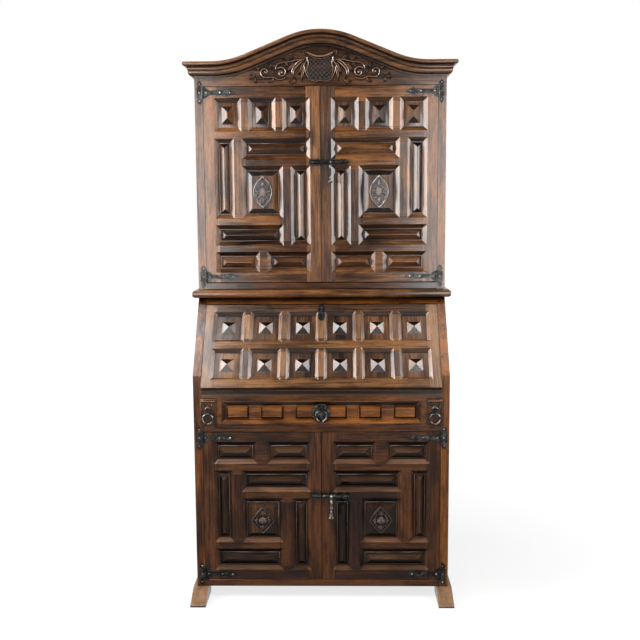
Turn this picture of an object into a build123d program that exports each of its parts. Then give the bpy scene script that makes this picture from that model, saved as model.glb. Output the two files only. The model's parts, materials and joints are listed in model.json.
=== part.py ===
"""Spanish-style secretary cabinet: lower cupboard, slant-front desk, upper cupboard with an arched cornice.

Millimetres. X runs to the right, the doors face -Y, +Z is up. The origin lies on the floor,
under the centre of the whole cabinet. Every node is one piece, or a group of like pieces.
"""
import os
from math import acos, atan2, cos, degrees, hypot, sin

from build123d import *

# ------------------------------------------------------------------ driving dimensions: carcass
body_width = 930.0
side_thickness = 30.0
lower_depth = 430.0
upper_depth = 240.0
back_thickness = 8.0

foot_height = 44.0
base_thickness = 26.0
lower_opening = 562.0
drawer_rail_height = 29.0
drawer_bay_height = 85.0
bed_rail_height = 20.0
bed_thickness = 18.0
slope_start = 54.0            # height of the sides' upright edge above the writing bed
desk_height = 323.0           # writing bed to the underside of the ledge
ledge_thickness = 29.0
upper_bottom_thickness = 26.0
upper_opening = 726.0
frieze_height = 62.0          # top of the upper doors' opening to the top of the side boards
rail_depth = 30.0
dust_board_thickness = 11.0
shelf_thickness = 20.0
top_board_thickness = 24.0

# ------------------------------------------------------------------ feet, ledge and cornice
foot_width = 56.0
foot_overhang = 14.0
toe_reach = 91.0
toe_nose = 11.0
toe_step = 2.0
pad_length = 58.0             # how far the front pad runs under the carcass
heel_length = 120.0
foot_arch = 22.0
ledge_side_overhang = 20.0
ledge_front_overhang = 38.0
ledge_nose_radius = 12.5
cornice_reach = 38.0
cornice_height = 55.0
cornice_above_side = 24.0     # tip of the moulding above the top of the side boards
cornice_nose = 8.0            # radius of the round nose
cornice_cove = 13.0           # height of the cove under the nose
cornice_band_reach = 19.0
cornice_step = 6.0
cornice_fillet = 5.0
arch_rise = 111.0
arch_half_width = 400.0
crown_radius = 320.0
flank_radius = 325.0
frieze_thickness = 26.0

# ------------------------------------------------------------------ doors
door_thickness = 28.0
door_gap = 2.0
hinge_gap = 1.0
stile_width = 38.0
tall_width = 73.0             # upright panel of the pinwheel
upright_bar = 29.0
level_bar = 24.0
bottom_rail = 36.0
row_bar = 25.0
bevel_width = 15.0
bevel_depth = 12.0
tongue_depth = 14.0           # front of the panel groove below the frame's face
tongue_thickness = 7.0
tongue_reach = 6.0
panel_clearance = 0.2
joint_line = 0.3
ridge_height = 12.5
ridge_flat = 2.5
panel_margin = 3.5
square_margin = 11.0
boss_rise = 2.5
boss_slope = 18.0
lower_low_row = 82.0
lower_centre_row = 168.0
lower_high_row = 81.0
lower_pair_height = 83.0
lower_pair_bar = 35.0
upper_pair_height = 78.0
upper_pair_bar = 28.0
upper_low_row = 77.0
upper_centre_row = 195.0
upper_high_row = 77.0
upper_square_height = 122.0
upper_boss = (74.0, 124.0)
lower_boss = (86.0, 102.0)

# ------------------------------------------------------------------ slant-front lid
lid_thickness = 28.0
lid_gap = 1.0
lid_top_gap = 2.0
lid_hinge_gap = 1.5
lid_rail_width = 30.5         # fixed rail between the lid and the ledge
lid_rail_thickness = 22.0
lid_backing = 6.0
lid_columns = 6
lid_stile = 30.0
lid_bottom_rail = 33.0
lid_top_rail = 30.0
lid_bar = 20.5
lid_mid_bar = 29.0
lid_bevel_width = 12.0
lid_point_size = 52.0
lid_point_height = 13.5
lid_hinge_x = 300.0
lid_barrel_radius = 4.0
lid_hinge_middle = 14.0
lid_hinge_outer = 10.0
lid_leaf_reach = 28.0
lid_leaf_thickness = 1.8
escutcheon_width = 24.0
escutcheon_height = 66.0

# ------------------------------------------------------------------ drawer and lopers
loper_width = 47.4
loper_height = 112.0
loper_length = 330.0
loper_play = 0.3
loper_cap_width = 60.0        # carved front block, lipped over the case on both sides
loper_cap_height = 100.0
loper_cap_thickness = 6.0
loper_cap_step = 4.0
loper_cap_clearance = 1.0     # under the open lid
divider_thickness = 22.0
runner_width = 20.0
drawer_gap = 1.0
drawer_front_thickness = 24.0
drawer_box_depth = 370.0
drawer_side = 12.0
drawer_bottom_thickness = 6.0
drawer_side_height = 70.0
drawer_bevel = 15.0
drawer_rim = 2.0
drawer_recess = 10.0
block_height = 49.0
block_rise = 9.0
block_slope = 8.0
block_gap = 41.0
short_block = 85.0

# ------------------------------------------------------------------ ironwork
iron_thickness = 2.5
barrel_radius = 4.5
barrel_stand_off = 0.4
knuckle_height = 12.0
knuckle_gap = 0.3
pin_radius = 2.0
pin_clearance = 0.05
pin_head_radius = 3.2
pin_head_height = 3.0
strap_length = 120.0
strap_half = 8.0
leaf_half_height = 43.5
leaf_width = 21.0
hinge_inset = 20.5            # strap centre from the door's end
bar_radius = 5.5
bar_length = 101.0
bar_stand_off = 9.0
bar_clearance = 0.05
collar_radius = 6.4
collar_width = 3.0
staple_first = 47.5
staple_spacing = 34.0
staple_width = 6.0
staple_foot = 3.5
keeper_length = 38.0
keeper_radius = 8.2
keeper_bore = 6.9
drop_x = 35.0
drop_width = 8.0
upper_drop_length = 78.0
lower_drop_length = 88.0
plate_radius = 33.0
ring_radius = 20.0
ring_wire = 3.4
loper_ring_radius = 18.5
loper_ring_wire = 3.0
ear_width = 7.0
ear_reach = 9.0
ear_clearance = 0.9
loper_plate_radius = 10.5
loper_eye_height = 58.0       # eye above the loper's underside

# ------------------------------------------------------------------ desk gallery and shelves
gallery_depth = 185.0
gallery_height = 240.0
gallery_board = 9.0
gallery_play = 1.0
small_drawer_height = 82.0
small_drawer_count = 3
small_drawer_gap = 0.6
small_drawer_wall = 6.0
pigeonholes = 6
knob_radius = 7.0
knob_reach = 18.0
shelf_setback = 12.0
lower_shelf_height = 270.0
upper_shelf_spacing = 240.0

# ------------------------------------------------------------------ planes and levels that follow
front_y = (toe_reach - lower_depth) / 2
back_y = front_y + lower_depth
inner_back_y = back_y - back_thickness
upper_front_y = back_y - upper_depth
half_width = body_width / 2
inner_half = half_width - side_thickness

base_top = foot_height + base_thickness
drawer_rail_z = base_top + lower_opening
bay_bottom = drawer_rail_z + drawer_rail_height
bay_top = bay_bottom + drawer_bay_height
bed_bottom = bay_top + bed_rail_height
bed_top = bed_bottom + bed_thickness
ledge_bottom = bed_top + desk_height
ledge_top = ledge_bottom + ledge_thickness
upper_floor = ledge_top + upper_bottom_thickness
frieze_bottom = upper_floor + upper_opening
side_top = frieze_bottom + frieze_height
cornice_top = side_top + cornice_above_side
cornice_bottom = cornice_top - cornice_height

# the slope of the desk: lid coordinates run s up the slope from the hinge line, t outwards
slope_angle = atan2(upper_front_y - front_y, ledge_bottom - bed_top - slope_start)
slope_sin = sin(slope_angle)
slope_cos = cos(slope_angle)
hinge_y = front_y - lid_hinge_gap
slope_t = slope_start * slope_sin - lid_hinge_gap * slope_cos
slope_end = (desk_height - slope_t * slope_sin) / slope_cos
lid_length = slope_end - lid_rail_width - lid_top_gap
lid_width = 2 * (inner_half - lid_gap)

loper_inner = inner_half - loper_width - 2 * loper_play
bay_half = loper_inner - divider_thickness
loper_top = bed_top - lid_thickness - 0.5
loper_bottom = loper_top - loper_height
dust_top = loper_bottom - loper_play


def lid_point(s, t):
    """Y and Z of a point of the lid, from its place up the slope and out from the inner face."""
    return hinge_y + s * slope_sin - t * slope_cos, bed_top + s * slope_cos + t * slope_sin


def save(builder, name):
    """Label a finished piece and write its STEP file."""
    builder.part.label = name
    export_step(builder.part, f"parts/{name}.step")


def face_plane(x, y, z):
    """A sketch plane that faces -Y, with X to the right and Z upwards."""
    return Plane(origin=(x, y, z), x_dir=(1, 0, 0), z_dir=(0, -1, 0))


def span_box(x_span, y_span, z_span, mode=Mode.ADD):
    """A box given by its limits along the three axes, in the current part."""
    sizes = [high - low for low, high in (x_span, y_span, z_span)]
    centre = tuple((low + high) / 2 for low, high in (x_span, y_span, z_span))
    with Locations(centre):
        Box(*sizes, mode=mode)


def rectangles(rects, inset=0.0):
    """Rectangles of a joinery layout, each drawn in by the same inset."""
    for x0, z0, x1, z1 in rects:
        with Locations(((x0 + x1) / 2, (z0 + z1) / 2)):
            Rectangle(x1 - x0 - 2 * inset, z1 - z0 - 2 * inset)


os.makedirs("parts", exist_ok=True)

# ================================================================== lower carcass
# side boards: upright at the lower front, sloped beside the lid
for name, side_x in (("left_side", -half_width), ("right_side", inner_half)):
    with BuildPart() as side_board:
        with BuildSketch(Plane.YZ.offset(side_x)):
            Polygon(
                (front_y, foot_height),
                (front_y, bed_top + slope_start),
                (upper_front_y, ledge_bottom),
                (inner_back_y, ledge_bottom),
                (inner_back_y, foot_height),
                align=None,
            )
        extrude(amount=side_thickness)
    save(side_board, name)

with BuildPart() as base_board:
    span_box((-inner_half, inner_half), (front_y, inner_back_y), (foot_height, base_top))
    chamfer(base_board.edges().filter_by(Axis.X).sort_by(Axis.Y)[:2], length=2)
save(base_board, "base_board")

with BuildPart() as dust_board:
    span_box((-inner_half, inner_half), (front_y + rail_depth, inner_back_y),
             (dust_top - dust_board_thickness, dust_top))
save(dust_board, "dust_board")

# rails across the front: one under and one over the drawer, and the sloped one over the lid
with BuildPart() as face_rails:
    rail_y = (front_y, front_y + rail_depth)
    span_box((-inner_half, inner_half), rail_y, (drawer_rail_z, bay_bottom))
    span_box((-inner_half, inner_half), rail_y, (bay_top, bed_bottom))
    for low_x, high_x in ((-inner_half, -loper_inner), (loper_inner, inner_half)):
        span_box((low_x, high_x), rail_y, (dust_top, loper_top + loper_play), mode=Mode.SUBTRACT)
    with BuildSketch(Plane.YZ.offset(-inner_half)):
        rail_low = lid_length + lid_top_gap
        rail_t = slope_t - lid_rail_thickness
        rail_back = (desk_height - rail_t * slope_sin) / slope_cos
        Polygon(
            lid_point(rail_low, slope_t),
            lid_point(slope_end, slope_t),
            lid_point(rail_back, rail_t),
            lid_point(rail_low, rail_t),
            align=None,
        )
    extrude(amount=2 * inner_half)
save(face_rails, "face_rails")

# guide boards between the drawer and the lopers, with the drawer's runners
with BuildPart() as drawer_guides:
    for side in (-1, 1):
        guide_x = sorted((side * bay_half, side * loper_inner))
        runner_x = sorted((side * (bay_half - runner_width), side * bay_half))
        span_box(guide_x, (front_y + rail_depth, inner_back_y), (dust_top, bed_bottom))
        span_box(guide_x, (front_y, front_y + rail_depth), (bay_bottom, bay_top))
        span_box(runner_x, (front_y + rail_depth, inner_back_y), (dust_top, bay_bottom))
save(drawer_guides, "drawer_guides")

# writing bed, let in at the front for the lid's hinges
with BuildPart() as writing_bed:
    span_box((-inner_half, inner_half), (front_y, inner_back_y), (bed_bottom, bed_top))
    hinge_half = lid_hinge_middle / 2 + lid_hinge_outer + 0.5
    for side in (-1, 1):
        centre_x = side * lid_hinge_x
        with BuildSketch(Plane.YZ.offset(centre_x - hinge_half)):
            with Locations((hinge_y, bed_top)):
                Circle(lid_barrel_radius + 0.4)
        extrude(amount=2 * hinge_half, mode=Mode.SUBTRACT)
        span_box((centre_x - hinge_half, centre_x + hinge_half),
                 (front_y, front_y + lid_leaf_reach),
                 (bed_top - lid_leaf_thickness, bed_top), mode=Mode.SUBTRACT)
save(writing_bed, "writing_bed")

# desk top: a board with a rounded nose at the front and both ends
with BuildPart() as desk_top:
    ledge_half = half_width + ledge_side_overhang
    span_box((-ledge_half, ledge_half), (upper_front_y - ledge_front_overhang, back_y),
             (ledge_bottom, ledge_top))
    nose_edges = desk_top.edges().filter_by(Axis.X).sort_by(Axis.Y)[:2]
    nose_edges += desk_top.edges().filter_by(Axis.Y)
    fillet(nose_edges, radius=ledge_nose_radius)
save(desk_top, "desk_top")


def plank_back(name, width, low_z, high_z):
    """A boarded back: one panel with V-shaped lines between its planks."""
    planks = 6
    with BuildPart() as back:
        span_box((-width / 2, width / 2), (inner_back_y, back_y), (low_z, high_z))
        with BuildSketch(Plane.XY.offset(low_z)):
            for index in range(1, planks):
                line_x = -width / 2 + index * width / planks
                with Locations((line_x, back_y)):
                    RegularPolygon(radius=2.5, side_count=4, rotation=0)
        extrude(amount=high_z - low_z, mode=Mode.SUBTRACT)
    save(back, name)


plank_back("lower_back", body_width - 8, foot_height, ledge_bottom)
plank_back("upper_back", body_width - 8, ledge_top, side_top)

# runner feet: a shaped toe in front, a heel behind and an arched underside between
for name, side in (("left_foot", -1), ("right_foot", 1)):
    foot_x = min(side * (half_width + foot_overhang), side * (half_width + foot_overhang - foot_width))
    toe_y = front_y - toe_reach
    step_y = front_y - 0.47 * toe_reach
    step_z = toe_nose + 0.47 * (foot_height - toe_nose)
    with BuildPart() as runner_foot:
        with BuildSketch(Plane.YZ.offset(foot_x)):
            with BuildLine():
                Line((back_y, foot_height), (front_y, foot_height))
                ThreePointArc((front_y, foot_height),
                              ((front_y + step_y) / 2, (foot_height + step_z + toe_step) / 2 + toe_step),
                              (step_y, step_z + toe_step))
                Line((step_y, step_z + toe_step), (step_y - 1, step_z))
                ThreePointArc((step_y - 1, step_z),
                              ((step_y + toe_y) / 2, (step_z + toe_nose) / 2 - toe_step),
                              (toe_y + 3, toe_nose))
                ThreePointArc((toe_y + 3, toe_nose), (toe_y, toe_nose / 2), (toe_y + 4, 0))
                Line((toe_y + 4, 0), (front_y + pad_length, 0))
                ThreePointArc((front_y + pad_length, 0),
                              (front_y + pad_length + 8, 0.7 * foot_arch),
                              (front_y + pad_length + foot_arch, foot_arch))
                Line((front_y + pad_length + foot_arch, foot_arch),
                     (back_y - heel_length - foot_arch, foot_arch))
                ThreePointArc((back_y - heel_length - foot_arch, foot_arch),
                              (back_y - heel_length - 8, 0.7 * foot_arch),
                              (back_y - heel_length, 0))
                Line((back_y - heel_length, 0), (back_y, 0))
                Line((back_y, 0), (back_y, foot_height))
            make_face()
        extrude(amount=foot_width)
    save(runner_foot, name)

# ================================================================== upper carcass
for name, side_x in (("upper_left_side", -half_width), ("upper_right_side", inner_half)):
    with BuildPart() as upper_side:
        span_box((side_x, side_x + side_thickness), (upper_front_y, inner_back_y), (ledge_top, side_top))
    save(upper_side, name)

with BuildPart() as upper_bottom:
    span_box((-inner_half, inner_half), (upper_front_y, inner_back_y), (ledge_top, upper_floor))
    chamfer(upper_bottom.edges().filter_by(Axis.X).sort_by(Axis.Y)[:2], length=2)
save(upper_bottom, "upper_bottom")

with BuildPart() as upper_top:
    span_box((-inner_half, inner_half), (upper_front_y + frieze_thickness, inner_back_y),
             (side_top - top_board_thickness, side_top))
save(upper_top, "upper_top")

shelf_y = upper_front_y + door_thickness + shelf_setback
with BuildPart() as shelves:
    for index in (1, 2):
        shelf_z = upper_floor + index * upper_shelf_spacing
        span_box((-inner_half, inner_half), (shelf_y, inner_back_y), (shelf_z, shelf_z + shelf_thickness))
    shelf_z = base_top + lower_shelf_height
    span_box((-inner_half, inner_half), (front_y + door_thickness + shelf_setback, inner_back_y),
             (shelf_z, shelf_z + shelf_thickness))
save(shelves, "shelves")

# ------------------------------------------------------------------ frieze and arched cornice
# the arch is a crown arc, a straight tangent and a hollow flank arc, mirrored about the centre
radius_sum = crown_radius + flank_radius
arch_lean = (atan2(arch_half_width, radius_sum - arch_rise)
             - acos(radius_sum / hypot(arch_half_width, radius_sum - arch_rise)))
crown_centre_z = cornice_top + arch_rise - crown_radius
flank_centre_z = cornice_top + flank_radius


def arch_point(angle, inset, flank, side):
    """A point of the arch: on its crown arc or on one of its flank arcs, drawn in by the inset."""
    if flank:
        radius = flank_radius + inset
        return side * (arch_half_width - radius * sin(angle)), flank_centre_z - radius * cos(angle)
    radius = crown_radius - inset
    return side * radius * sin(angle), crown_centre_z + radius * cos(angle)


def arch_lines(end_x, inset):
    """The cornice line from left to right, level beyond the arch."""
    for side in (-1, 1):
        foot = arch_point(0, inset, True, side)
        knee = arch_point(arch_lean, inset, True, side)
        Line((side * end_x, foot[1]), foot)
        ThreePointArc(foot, arch_point(arch_lean / 2, inset, True, side), knee)
        Line(knee, arch_point(arch_lean, inset, False, side))
    ThreePointArc(arch_point(arch_lean, inset, False, -1), arch_point(0, inset, False, 1),
                  arch_point(arch_lean, inset, False, 1))


frieze_inset = 5.0
with BuildPart() as frieze:
    with BuildSketch(face_plane(0, upper_front_y, 0)):
        with BuildLine():
            arch_lines(inner_half, frieze_inset)
            shoulder_z = cornice_top - frieze_inset
            Line((-inner_half, shoulder_z), (-inner_half, frieze_bottom))
            Line((-inner_half, frieze_bottom), (inner_half, frieze_bottom))
            Line((inner_half, frieze_bottom), (inner_half, shoulder_z))
        make_face()
    extrude(amount=-frieze_thickness)
save(frieze, "frieze")


def moulding_section():
    """Cornice section: fillet, swelled band, deep cove and round nose; u outwards, v up from its foot."""
    nose_foot = (cornice_reach - cornice_nose, cornice_height - 2 * cornice_nose)
    nose_top = (cornice_reach - cornice_nose, cornice_height)
    cove_low = nose_foot[1] - cornice_cove
    cove_start = cornice_band_reach + 0.5 * cornice_step
    with BuildLine() as section:
        Polyline((0, 0), (cornice_step, 0), (cornice_step, cornice_fillet),
                 (cornice_step + cornice_fillet, cornice_fillet))
        ThreePointArc((cornice_step + cornice_fillet, cornice_fillet),
                      (cornice_band_reach - 0.25 * cornice_step, cornice_step + cornice_fillet),
                      (cornice_band_reach, cove_low))
        Line((cornice_band_reach, cove_low), (cove_start, cove_low))
        ThreePointArc((cove_start, cove_low),
                      (cove_start + 0.25 * (nose_foot[0] - cove_start), cove_low + 0.7 * cornice_cove),
                      nose_foot)
        ThreePointArc(nose_foot, (cornice_reach, cornice_height - cornice_nose), nose_top)
        Polyline(nose_top, (0, cornice_height), (0, 0))
    make_face(section.edges())


with BuildPart() as cornice_front:
    with BuildLine(Plane.XZ.offset(-upper_front_y)) as arch_path:
        arch_lines(half_width + cornice_reach, cornice_height)
    section_plane = Plane(origin=(-half_width - cornice_reach, upper_front_y, cornice_bottom),
                          x_dir=(0, -1, 0), z_dir=(-1, 0, 0))
    with BuildSketch(section_plane):
        moulding_section()
    sweep(path=arch_path.wires()[0])
    for side in (-1, 1):
        mitre = Plane(origin=(side * half_width, upper_front_y, 0), z_dir=(-side, -1, 0))
        split(bisect_by=mitre.offset(joint_line / 2), keep=Keep.TOP)

with BuildPart() as cornice_return:
    with BuildSketch(Plane(origin=(-half_width, upper_front_y - cornice_reach, cornice_bottom),
                           x_dir=(-1, 0, 0), z_dir=(0, 1, 0))):
        moulding_section()
    extrude(amount=back_y - upper_front_y + cornice_reach)
    mitre = Plane(origin=(-half_width, upper_front_y, 0), z_dir=(1, -1, 0))
    split(bisect_by=mitre.offset(-joint_line / 2), keep=Keep.BOTTOM)

with BuildPart() as cornice:
    add(cornice_front.part)
    add(cornice_return.part)
    add(mirror(cornice_return.part, about=Plane.YZ))
save(cornice, "cornice")

# ================================================================== doors
door_width = (2 * inner_half - 2 * hinge_gap - door_gap) / 2
lower_door_height = lower_opening - 2 * door_gap
upper_door_height = upper_opening - 2 * door_gap
panel_depth = tongue_depth + panel_clearance


def row(count, z0, height, bar):
    """Equal openings side by side between the stiles, with the uprights between them."""
    free = door_width - 2 * stile_width
    width = (free - (count - 1) * bar) / count
    lefts = [stile_width + index * (width + bar) for index in range(count)]
    openings = [(x, z0, x + width, z0 + height) for x in lefts]
    edge = bevel_width
    bars = [(x - bar - edge, z0 + edge, x + edge, z0 + height - edge) for x in lefts[1:]]
    return openings, bars


def pinwheel(z0, low, centre, high):
    """Four long openings turning round a centre one, with the bars between them."""
    left = stile_width
    right = door_width - stile_width
    tall_x = left + tall_width
    core_x = tall_x + upright_bar
    core_end = right - tall_width - upright_bar
    core_z = z0 + low + level_bar
    core_top = core_z + centre
    high_z = core_top + level_bar
    top = high_z + high
    openings = [
        (core_x, core_z, core_end, core_top),
        (left, core_z, tall_x, top),
        (core_x, high_z, right, top),
        (right - tall_width, z0, right, core_top),
        (left, z0, core_end, z0 + low),
    ]
    edge = bevel_width
    bars = [
        (tall_x - edge, core_z + edge, core_x + edge, top - edge),
        (core_x + edge, core_top - edge, right - edge, high_z + edge),
        (core_end - edge, z0 + edge, right - tall_width + edge, core_top - edge),
        (left + edge, z0 + low - edge, core_end - edge, core_z + edge),
    ]
    return openings, bars


def cross_rail(z0, z1):
    """A rail between the stiles, over the whole bevelled width between two rows of openings."""
    edge = stile_width + bevel_width
    return edge, z0 - bevel_width, door_width - edge, z1 + bevel_width


def outer_members(height, bottom, top):
    """Both stiles, the bottom rail and the top rail of a door."""
    edge = stile_width + bevel_width
    return [
        (0, 0, edge, height),
        (door_width - edge, 0, door_width, height),
        (edge, 0, door_width - edge, bottom + bevel_width),
        (edge, top - bevel_width, door_width - edge, height),
    ]


def lower_door_layout():
    """Openings by kind and frame members of a lower door, hinged at its left edge."""
    wheel, bars = pinwheel(bottom_rail, lower_low_row, lower_centre_row, lower_high_row)
    wheel_top = bottom_rail + lower_low_row + lower_centre_row + lower_high_row + 2 * level_bar
    pair_z = wheel_top + row_bar
    pair, pair_bars = row(2, pair_z, lower_pair_height, lower_pair_bar)
    members = outer_members(lower_door_height, bottom_rail, pair_z + lower_pair_height)
    members += bars + pair_bars + [cross_rail(wheel_top, pair_z)]
    return {"boss": wheel[:1], "ridge": wheel[1:] + pair, "square": []}, members


def upper_door_layout():
    """Openings by kind and frame members of an upper door, hinged at its left edge."""
    pair, pair_bars = row(2, bottom_rail, upper_pair_height, upper_pair_bar)
    pair_top = bottom_rail + upper_pair_height
    wheel_z = pair_top + level_bar
    wheel, bars = pinwheel(wheel_z, upper_low_row, upper_centre_row, upper_high_row)
    wheel_top = wheel_z + upper_low_row + upper_centre_row + upper_high_row + 2 * level_bar
    square_z = wheel_top + row_bar
    squares, square_bars = row(3, square_z, upper_square_height, row_bar)
    members = outer_members(upper_door_height, bottom_rail, square_z + upper_square_height)
    members += pair_bars + bars + square_bars
    members += [cross_rail(pair_top, wheel_z), cross_rail(wheel_top, square_z)]
    return {"boss": wheel[:1], "ridge": wheel[1:] + pair, "square": squares}, members


def flipped(rects, width):
    """The same rectangles seen in a mirror."""
    return [(width - x1, z0, width - x0, z1) for x0, z0, x1, z1 in rects]


def panel_groove(face, openings, bevel, groove_start, groove_thickness, reach, thickness):
    """Cut bevelled mouths, the way through and the panel groove behind them, in the current part."""
    with BuildSketch(face) as mouths:
        rectangles(openings)
    extrude(mouths.sketch, amount=-bevel_depth, taper=degrees(atan2(bevel, bevel_depth)),
            mode=Mode.SUBTRACT)
    with BuildSketch(face.offset(-bevel_depth)) as ways:
        rectangles(openings, inset=bevel)
    extrude(ways.sketch, amount=bevel_depth - thickness, mode=Mode.SUBTRACT)
    with BuildSketch(face.offset(-groove_start)) as grooves:
        rectangles(openings, inset=bevel - reach)
    extrude(grooves.sketch, amount=-groove_thickness, mode=Mode.SUBTRACT)


def raised_field(face, rect, inset, rise, slope_run):
    """A field with sloped sides on a panel's face, inside the given inset."""
    with BuildSketch(face) as field:
        rectangles([rect], inset=inset)
    extrude(field.sketch, amount=rise, taper=degrees(atan2(slope_run, rise)))


def panel_board(face, rect, bevel, thickness):
    """The flat board of a panel: its tongue lies in the groove round the opening."""
    with BuildSketch(face) as board:
        rectangles([rect], inset=bevel - tongue_reach + panel_clearance)
    extrude(board.sketch, amount=-thickness)


def boss_outline(size):
    """Medallion in the middle panel: straight from point to point, or swelled when it is tall."""
    width, height = size
    swell = 0.36 if height > 1.5 * width else 0.28
    with BuildLine() as outline:
        for side in (-1, 1):
            ThreePointArc((0, height / 2), (side * swell * width, height / 4), (side * width / 2, 0))
            ThreePointArc((side * width / 2, 0), (side * swell * width, -height / 4), (0, -height / 2))
    make_face(outline.edges())


def build_door(name, x_left, front, z_bottom, layout, boss_size, mirrored):
    """Frame and panels of one door, each as a node of separate boards."""
    kinds, members = layout
    if mirrored:
        kinds = {kind: flipped(rects, door_width) for kind, rects in kinds.items()}
        members = flipped(members, door_width)
    openings = kinds["boss"] + kinds["ridge"] + kinds["square"]
    face = face_plane(x_left, front, z_bottom)
    with BuildPart() as door_frame:
        with BuildSketch(face):
            rectangles(members, inset=joint_line / 2)
        extrude(amount=-door_thickness)
        panel_groove(face, openings, bevel_width, tongue_depth, tongue_thickness + 2 * panel_clearance,
                     tongue_reach, door_thickness)
    save(door_frame, f"{name}_frame")

    margin_face = face.offset(-panel_depth)
    with BuildPart() as door_panels:
        for rect in openings:
            panel_board(margin_face, rect, bevel_width, tongue_thickness)
        for rect in kinds["ridge"]:
            inset = bevel_width + panel_margin
            narrow = min(rect[2] - rect[0], rect[3] - rect[1]) - 2 * inset
            raised_field(margin_face, rect, inset, ridge_height, (narrow - ridge_flat) / 2)
        for rect in kinds["square"]:
            inset = bevel_width + square_margin
            narrow = rect[2] - rect[0] - 2 * inset
            raised_field(margin_face, rect, inset, ridge_height, (narrow - ridge_flat) / 2)
        for rect in kinds["boss"]:
            raised_field(margin_face, rect, bevel_width + panel_margin, ridge_height - boss_rise,
                         boss_slope)
            boss_x = x_left + (rect[0] + rect[2]) / 2
            boss_z = z_bottom + (rect[1] + rect[3]) / 2
            with BuildSketch(face_plane(boss_x, front + panel_depth, boss_z)):
                boss_outline(boss_size)
            extrude(amount=ridge_height)
    save(door_panels, f"{name}_panels")


door_left_x = -inner_half + hinge_gap
door_right_x = inner_half - hinge_gap - door_width
lower_door_z = base_top + door_gap
upper_door_z = upper_floor + door_gap
build_door("lower_left_door", door_left_x, front_y, lower_door_z, lower_door_layout(), lower_boss, False)
build_door("lower_right_door", door_right_x, front_y, lower_door_z, lower_door_layout(), lower_boss, True)
build_door("upper_left_door", door_left_x, upper_front_y, upper_door_z, upper_door_layout(), upper_boss,
           False)
build_door("upper_right_door", door_right_x, upper_front_y, upper_door_z, upper_door_layout(), upper_boss,
           True)

# ------------------------------------------------------------------ door hinges
barrel_y = barrel_radius + barrel_stand_off
axis_x = inner_half - hinge_gap / 2
knuckle_pitch = knuckle_height + knuckle_gap


def upright_bar_piece(x, y, low_z, high_z, radius, mode=Mode.ADD):
    """A round length along Z, for a knuckle, a pin or a pin's bore."""
    with BuildSketch(Plane.XY.offset(low_z)) as section:
        with Locations((x, y)):
            Circle(radius)
    extrude(section.sketch, amount=high_z - low_z, mode=mode)


def strap_outline(side):
    """Forged strap: root at the knuckle, flared wings, waisted bar and a spear tip."""
    root = knuckle_height / 2 - knuckle_gap
    wing = 18.0
    clear = barrel_radius + 1.5
    half = [(0, root), (clear, root), (clear, wing), (clear + 4, wing),
            (0.2 * strap_length, 0.85 * strap_half), (0.66 * strap_length, strap_half),
            (0.70 * strap_length, 0.8 * strap_half), (0.75 * strap_length, 1.7 * strap_half)]
    lower = [(x, -z) for x, z in reversed(half)]
    Polygon(*[(side * x, z) for x, z in half + [(strap_length, 0)] + lower], align=None)


def leaf_outline(side):
    """Upright leaf with a spear at both ends, notched round the middle knuckle."""
    near = 1.0
    notch = barrel_radius + 0.8
    waist = 0.5 * leaf_half_height
    barb = 0.68 * leaf_half_height
    body = 0.5 * knuckle_pitch + knuckle_height
    middle = near + leaf_width / 2
    half = [(notch, 0.5 * knuckle_pitch + 0.2), (near, 0.5 * knuckle_pitch + 0.2), (near, body),
            (near + 3, body), (middle - 3.5, waist), (near + 1, barb), (middle, leaf_half_height),
            (near + leaf_width - 1, barb), (middle + 3.5, waist), (near + leaf_width, body)]
    lower = [(x, -z) for x, z in reversed(half)]
    Polygon(*[(side * x, z) for x, z in half + lower], align=None)


def hinge_heights(z_bottom, height):
    """Centres of a door's two hinges."""
    return z_bottom + hinge_inset, z_bottom + height - hinge_inset


door_hinges = []
for front, z_bottom, height in ((front_y, lower_door_z, lower_door_height),
                                (upper_front_y, upper_door_z, upper_door_height)):
    for centre_z in hinge_heights(z_bottom, height):
        for side in (-1, 1):
            door_hinges.append((side, front, centre_z))

# a leaf carries the two outer knuckles, and the pin is driven tight through them
with BuildPart() as hinge_leaves:
    for side, front, centre_z in door_hinges:
        hinge_axis_x = side * axis_x
        pin_y = front - barrel_y
        barrel_half = 0.5 * knuckle_pitch + knuckle_height
        with BuildSketch(face_plane(hinge_axis_x, front, centre_z)):
            leaf_outline(side)
        extrude(amount=iron_thickness)
        for direction in (-1, 1):
            low, high = sorted((direction * (0.5 * knuckle_pitch + knuckle_gap / 2),
                                direction * barrel_half))
            upright_bar_piece(hinge_axis_x, pin_y, centre_z + low, centre_z + high, barrel_radius)
        upright_bar_piece(hinge_axis_x, pin_y, centre_z - barrel_half, centre_z + barrel_half, pin_radius)
        for head_z in (centre_z - barrel_half - pin_head_height, centre_z + barrel_half):
            with BuildSketch(Plane.XY.offset(head_z)):
                with Locations((hinge_axis_x, pin_y)):
                    RegularPolygon(pin_head_radius, side_count=8)
            extrude(amount=pin_head_height)
save(hinge_leaves, "hinge_leaves")

for name, side, front, z_bottom, height in (
        ("lower_left_straps", -1, front_y, lower_door_z, lower_door_height),
        ("lower_right_straps", 1, front_y, lower_door_z, lower_door_height),
        ("upper_left_straps", -1, upper_front_y, upper_door_z, upper_door_height),
        ("upper_right_straps", 1, upper_front_y, upper_door_z, upper_door_height)):
    half_knuckle = knuckle_height / 2 - knuckle_gap
    with BuildPart() as hinge_straps:
        for centre_z in hinge_heights(z_bottom, height):
            with BuildSketch(face_plane(side * axis_x, front, centre_z)):
                strap_outline(-side)
            extrude(amount=iron_thickness)
            low_z, high_z = centre_z - half_knuckle, centre_z + half_knuckle
            upright_bar_piece(side * axis_x, front - barrel_y, low_z, high_z, barrel_radius)
            upright_bar_piece(side * axis_x, front - barrel_y, low_z, high_z, pin_radius + pin_clearance,
                              mode=Mode.SUBTRACT)
    save(hinge_straps, name)

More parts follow.
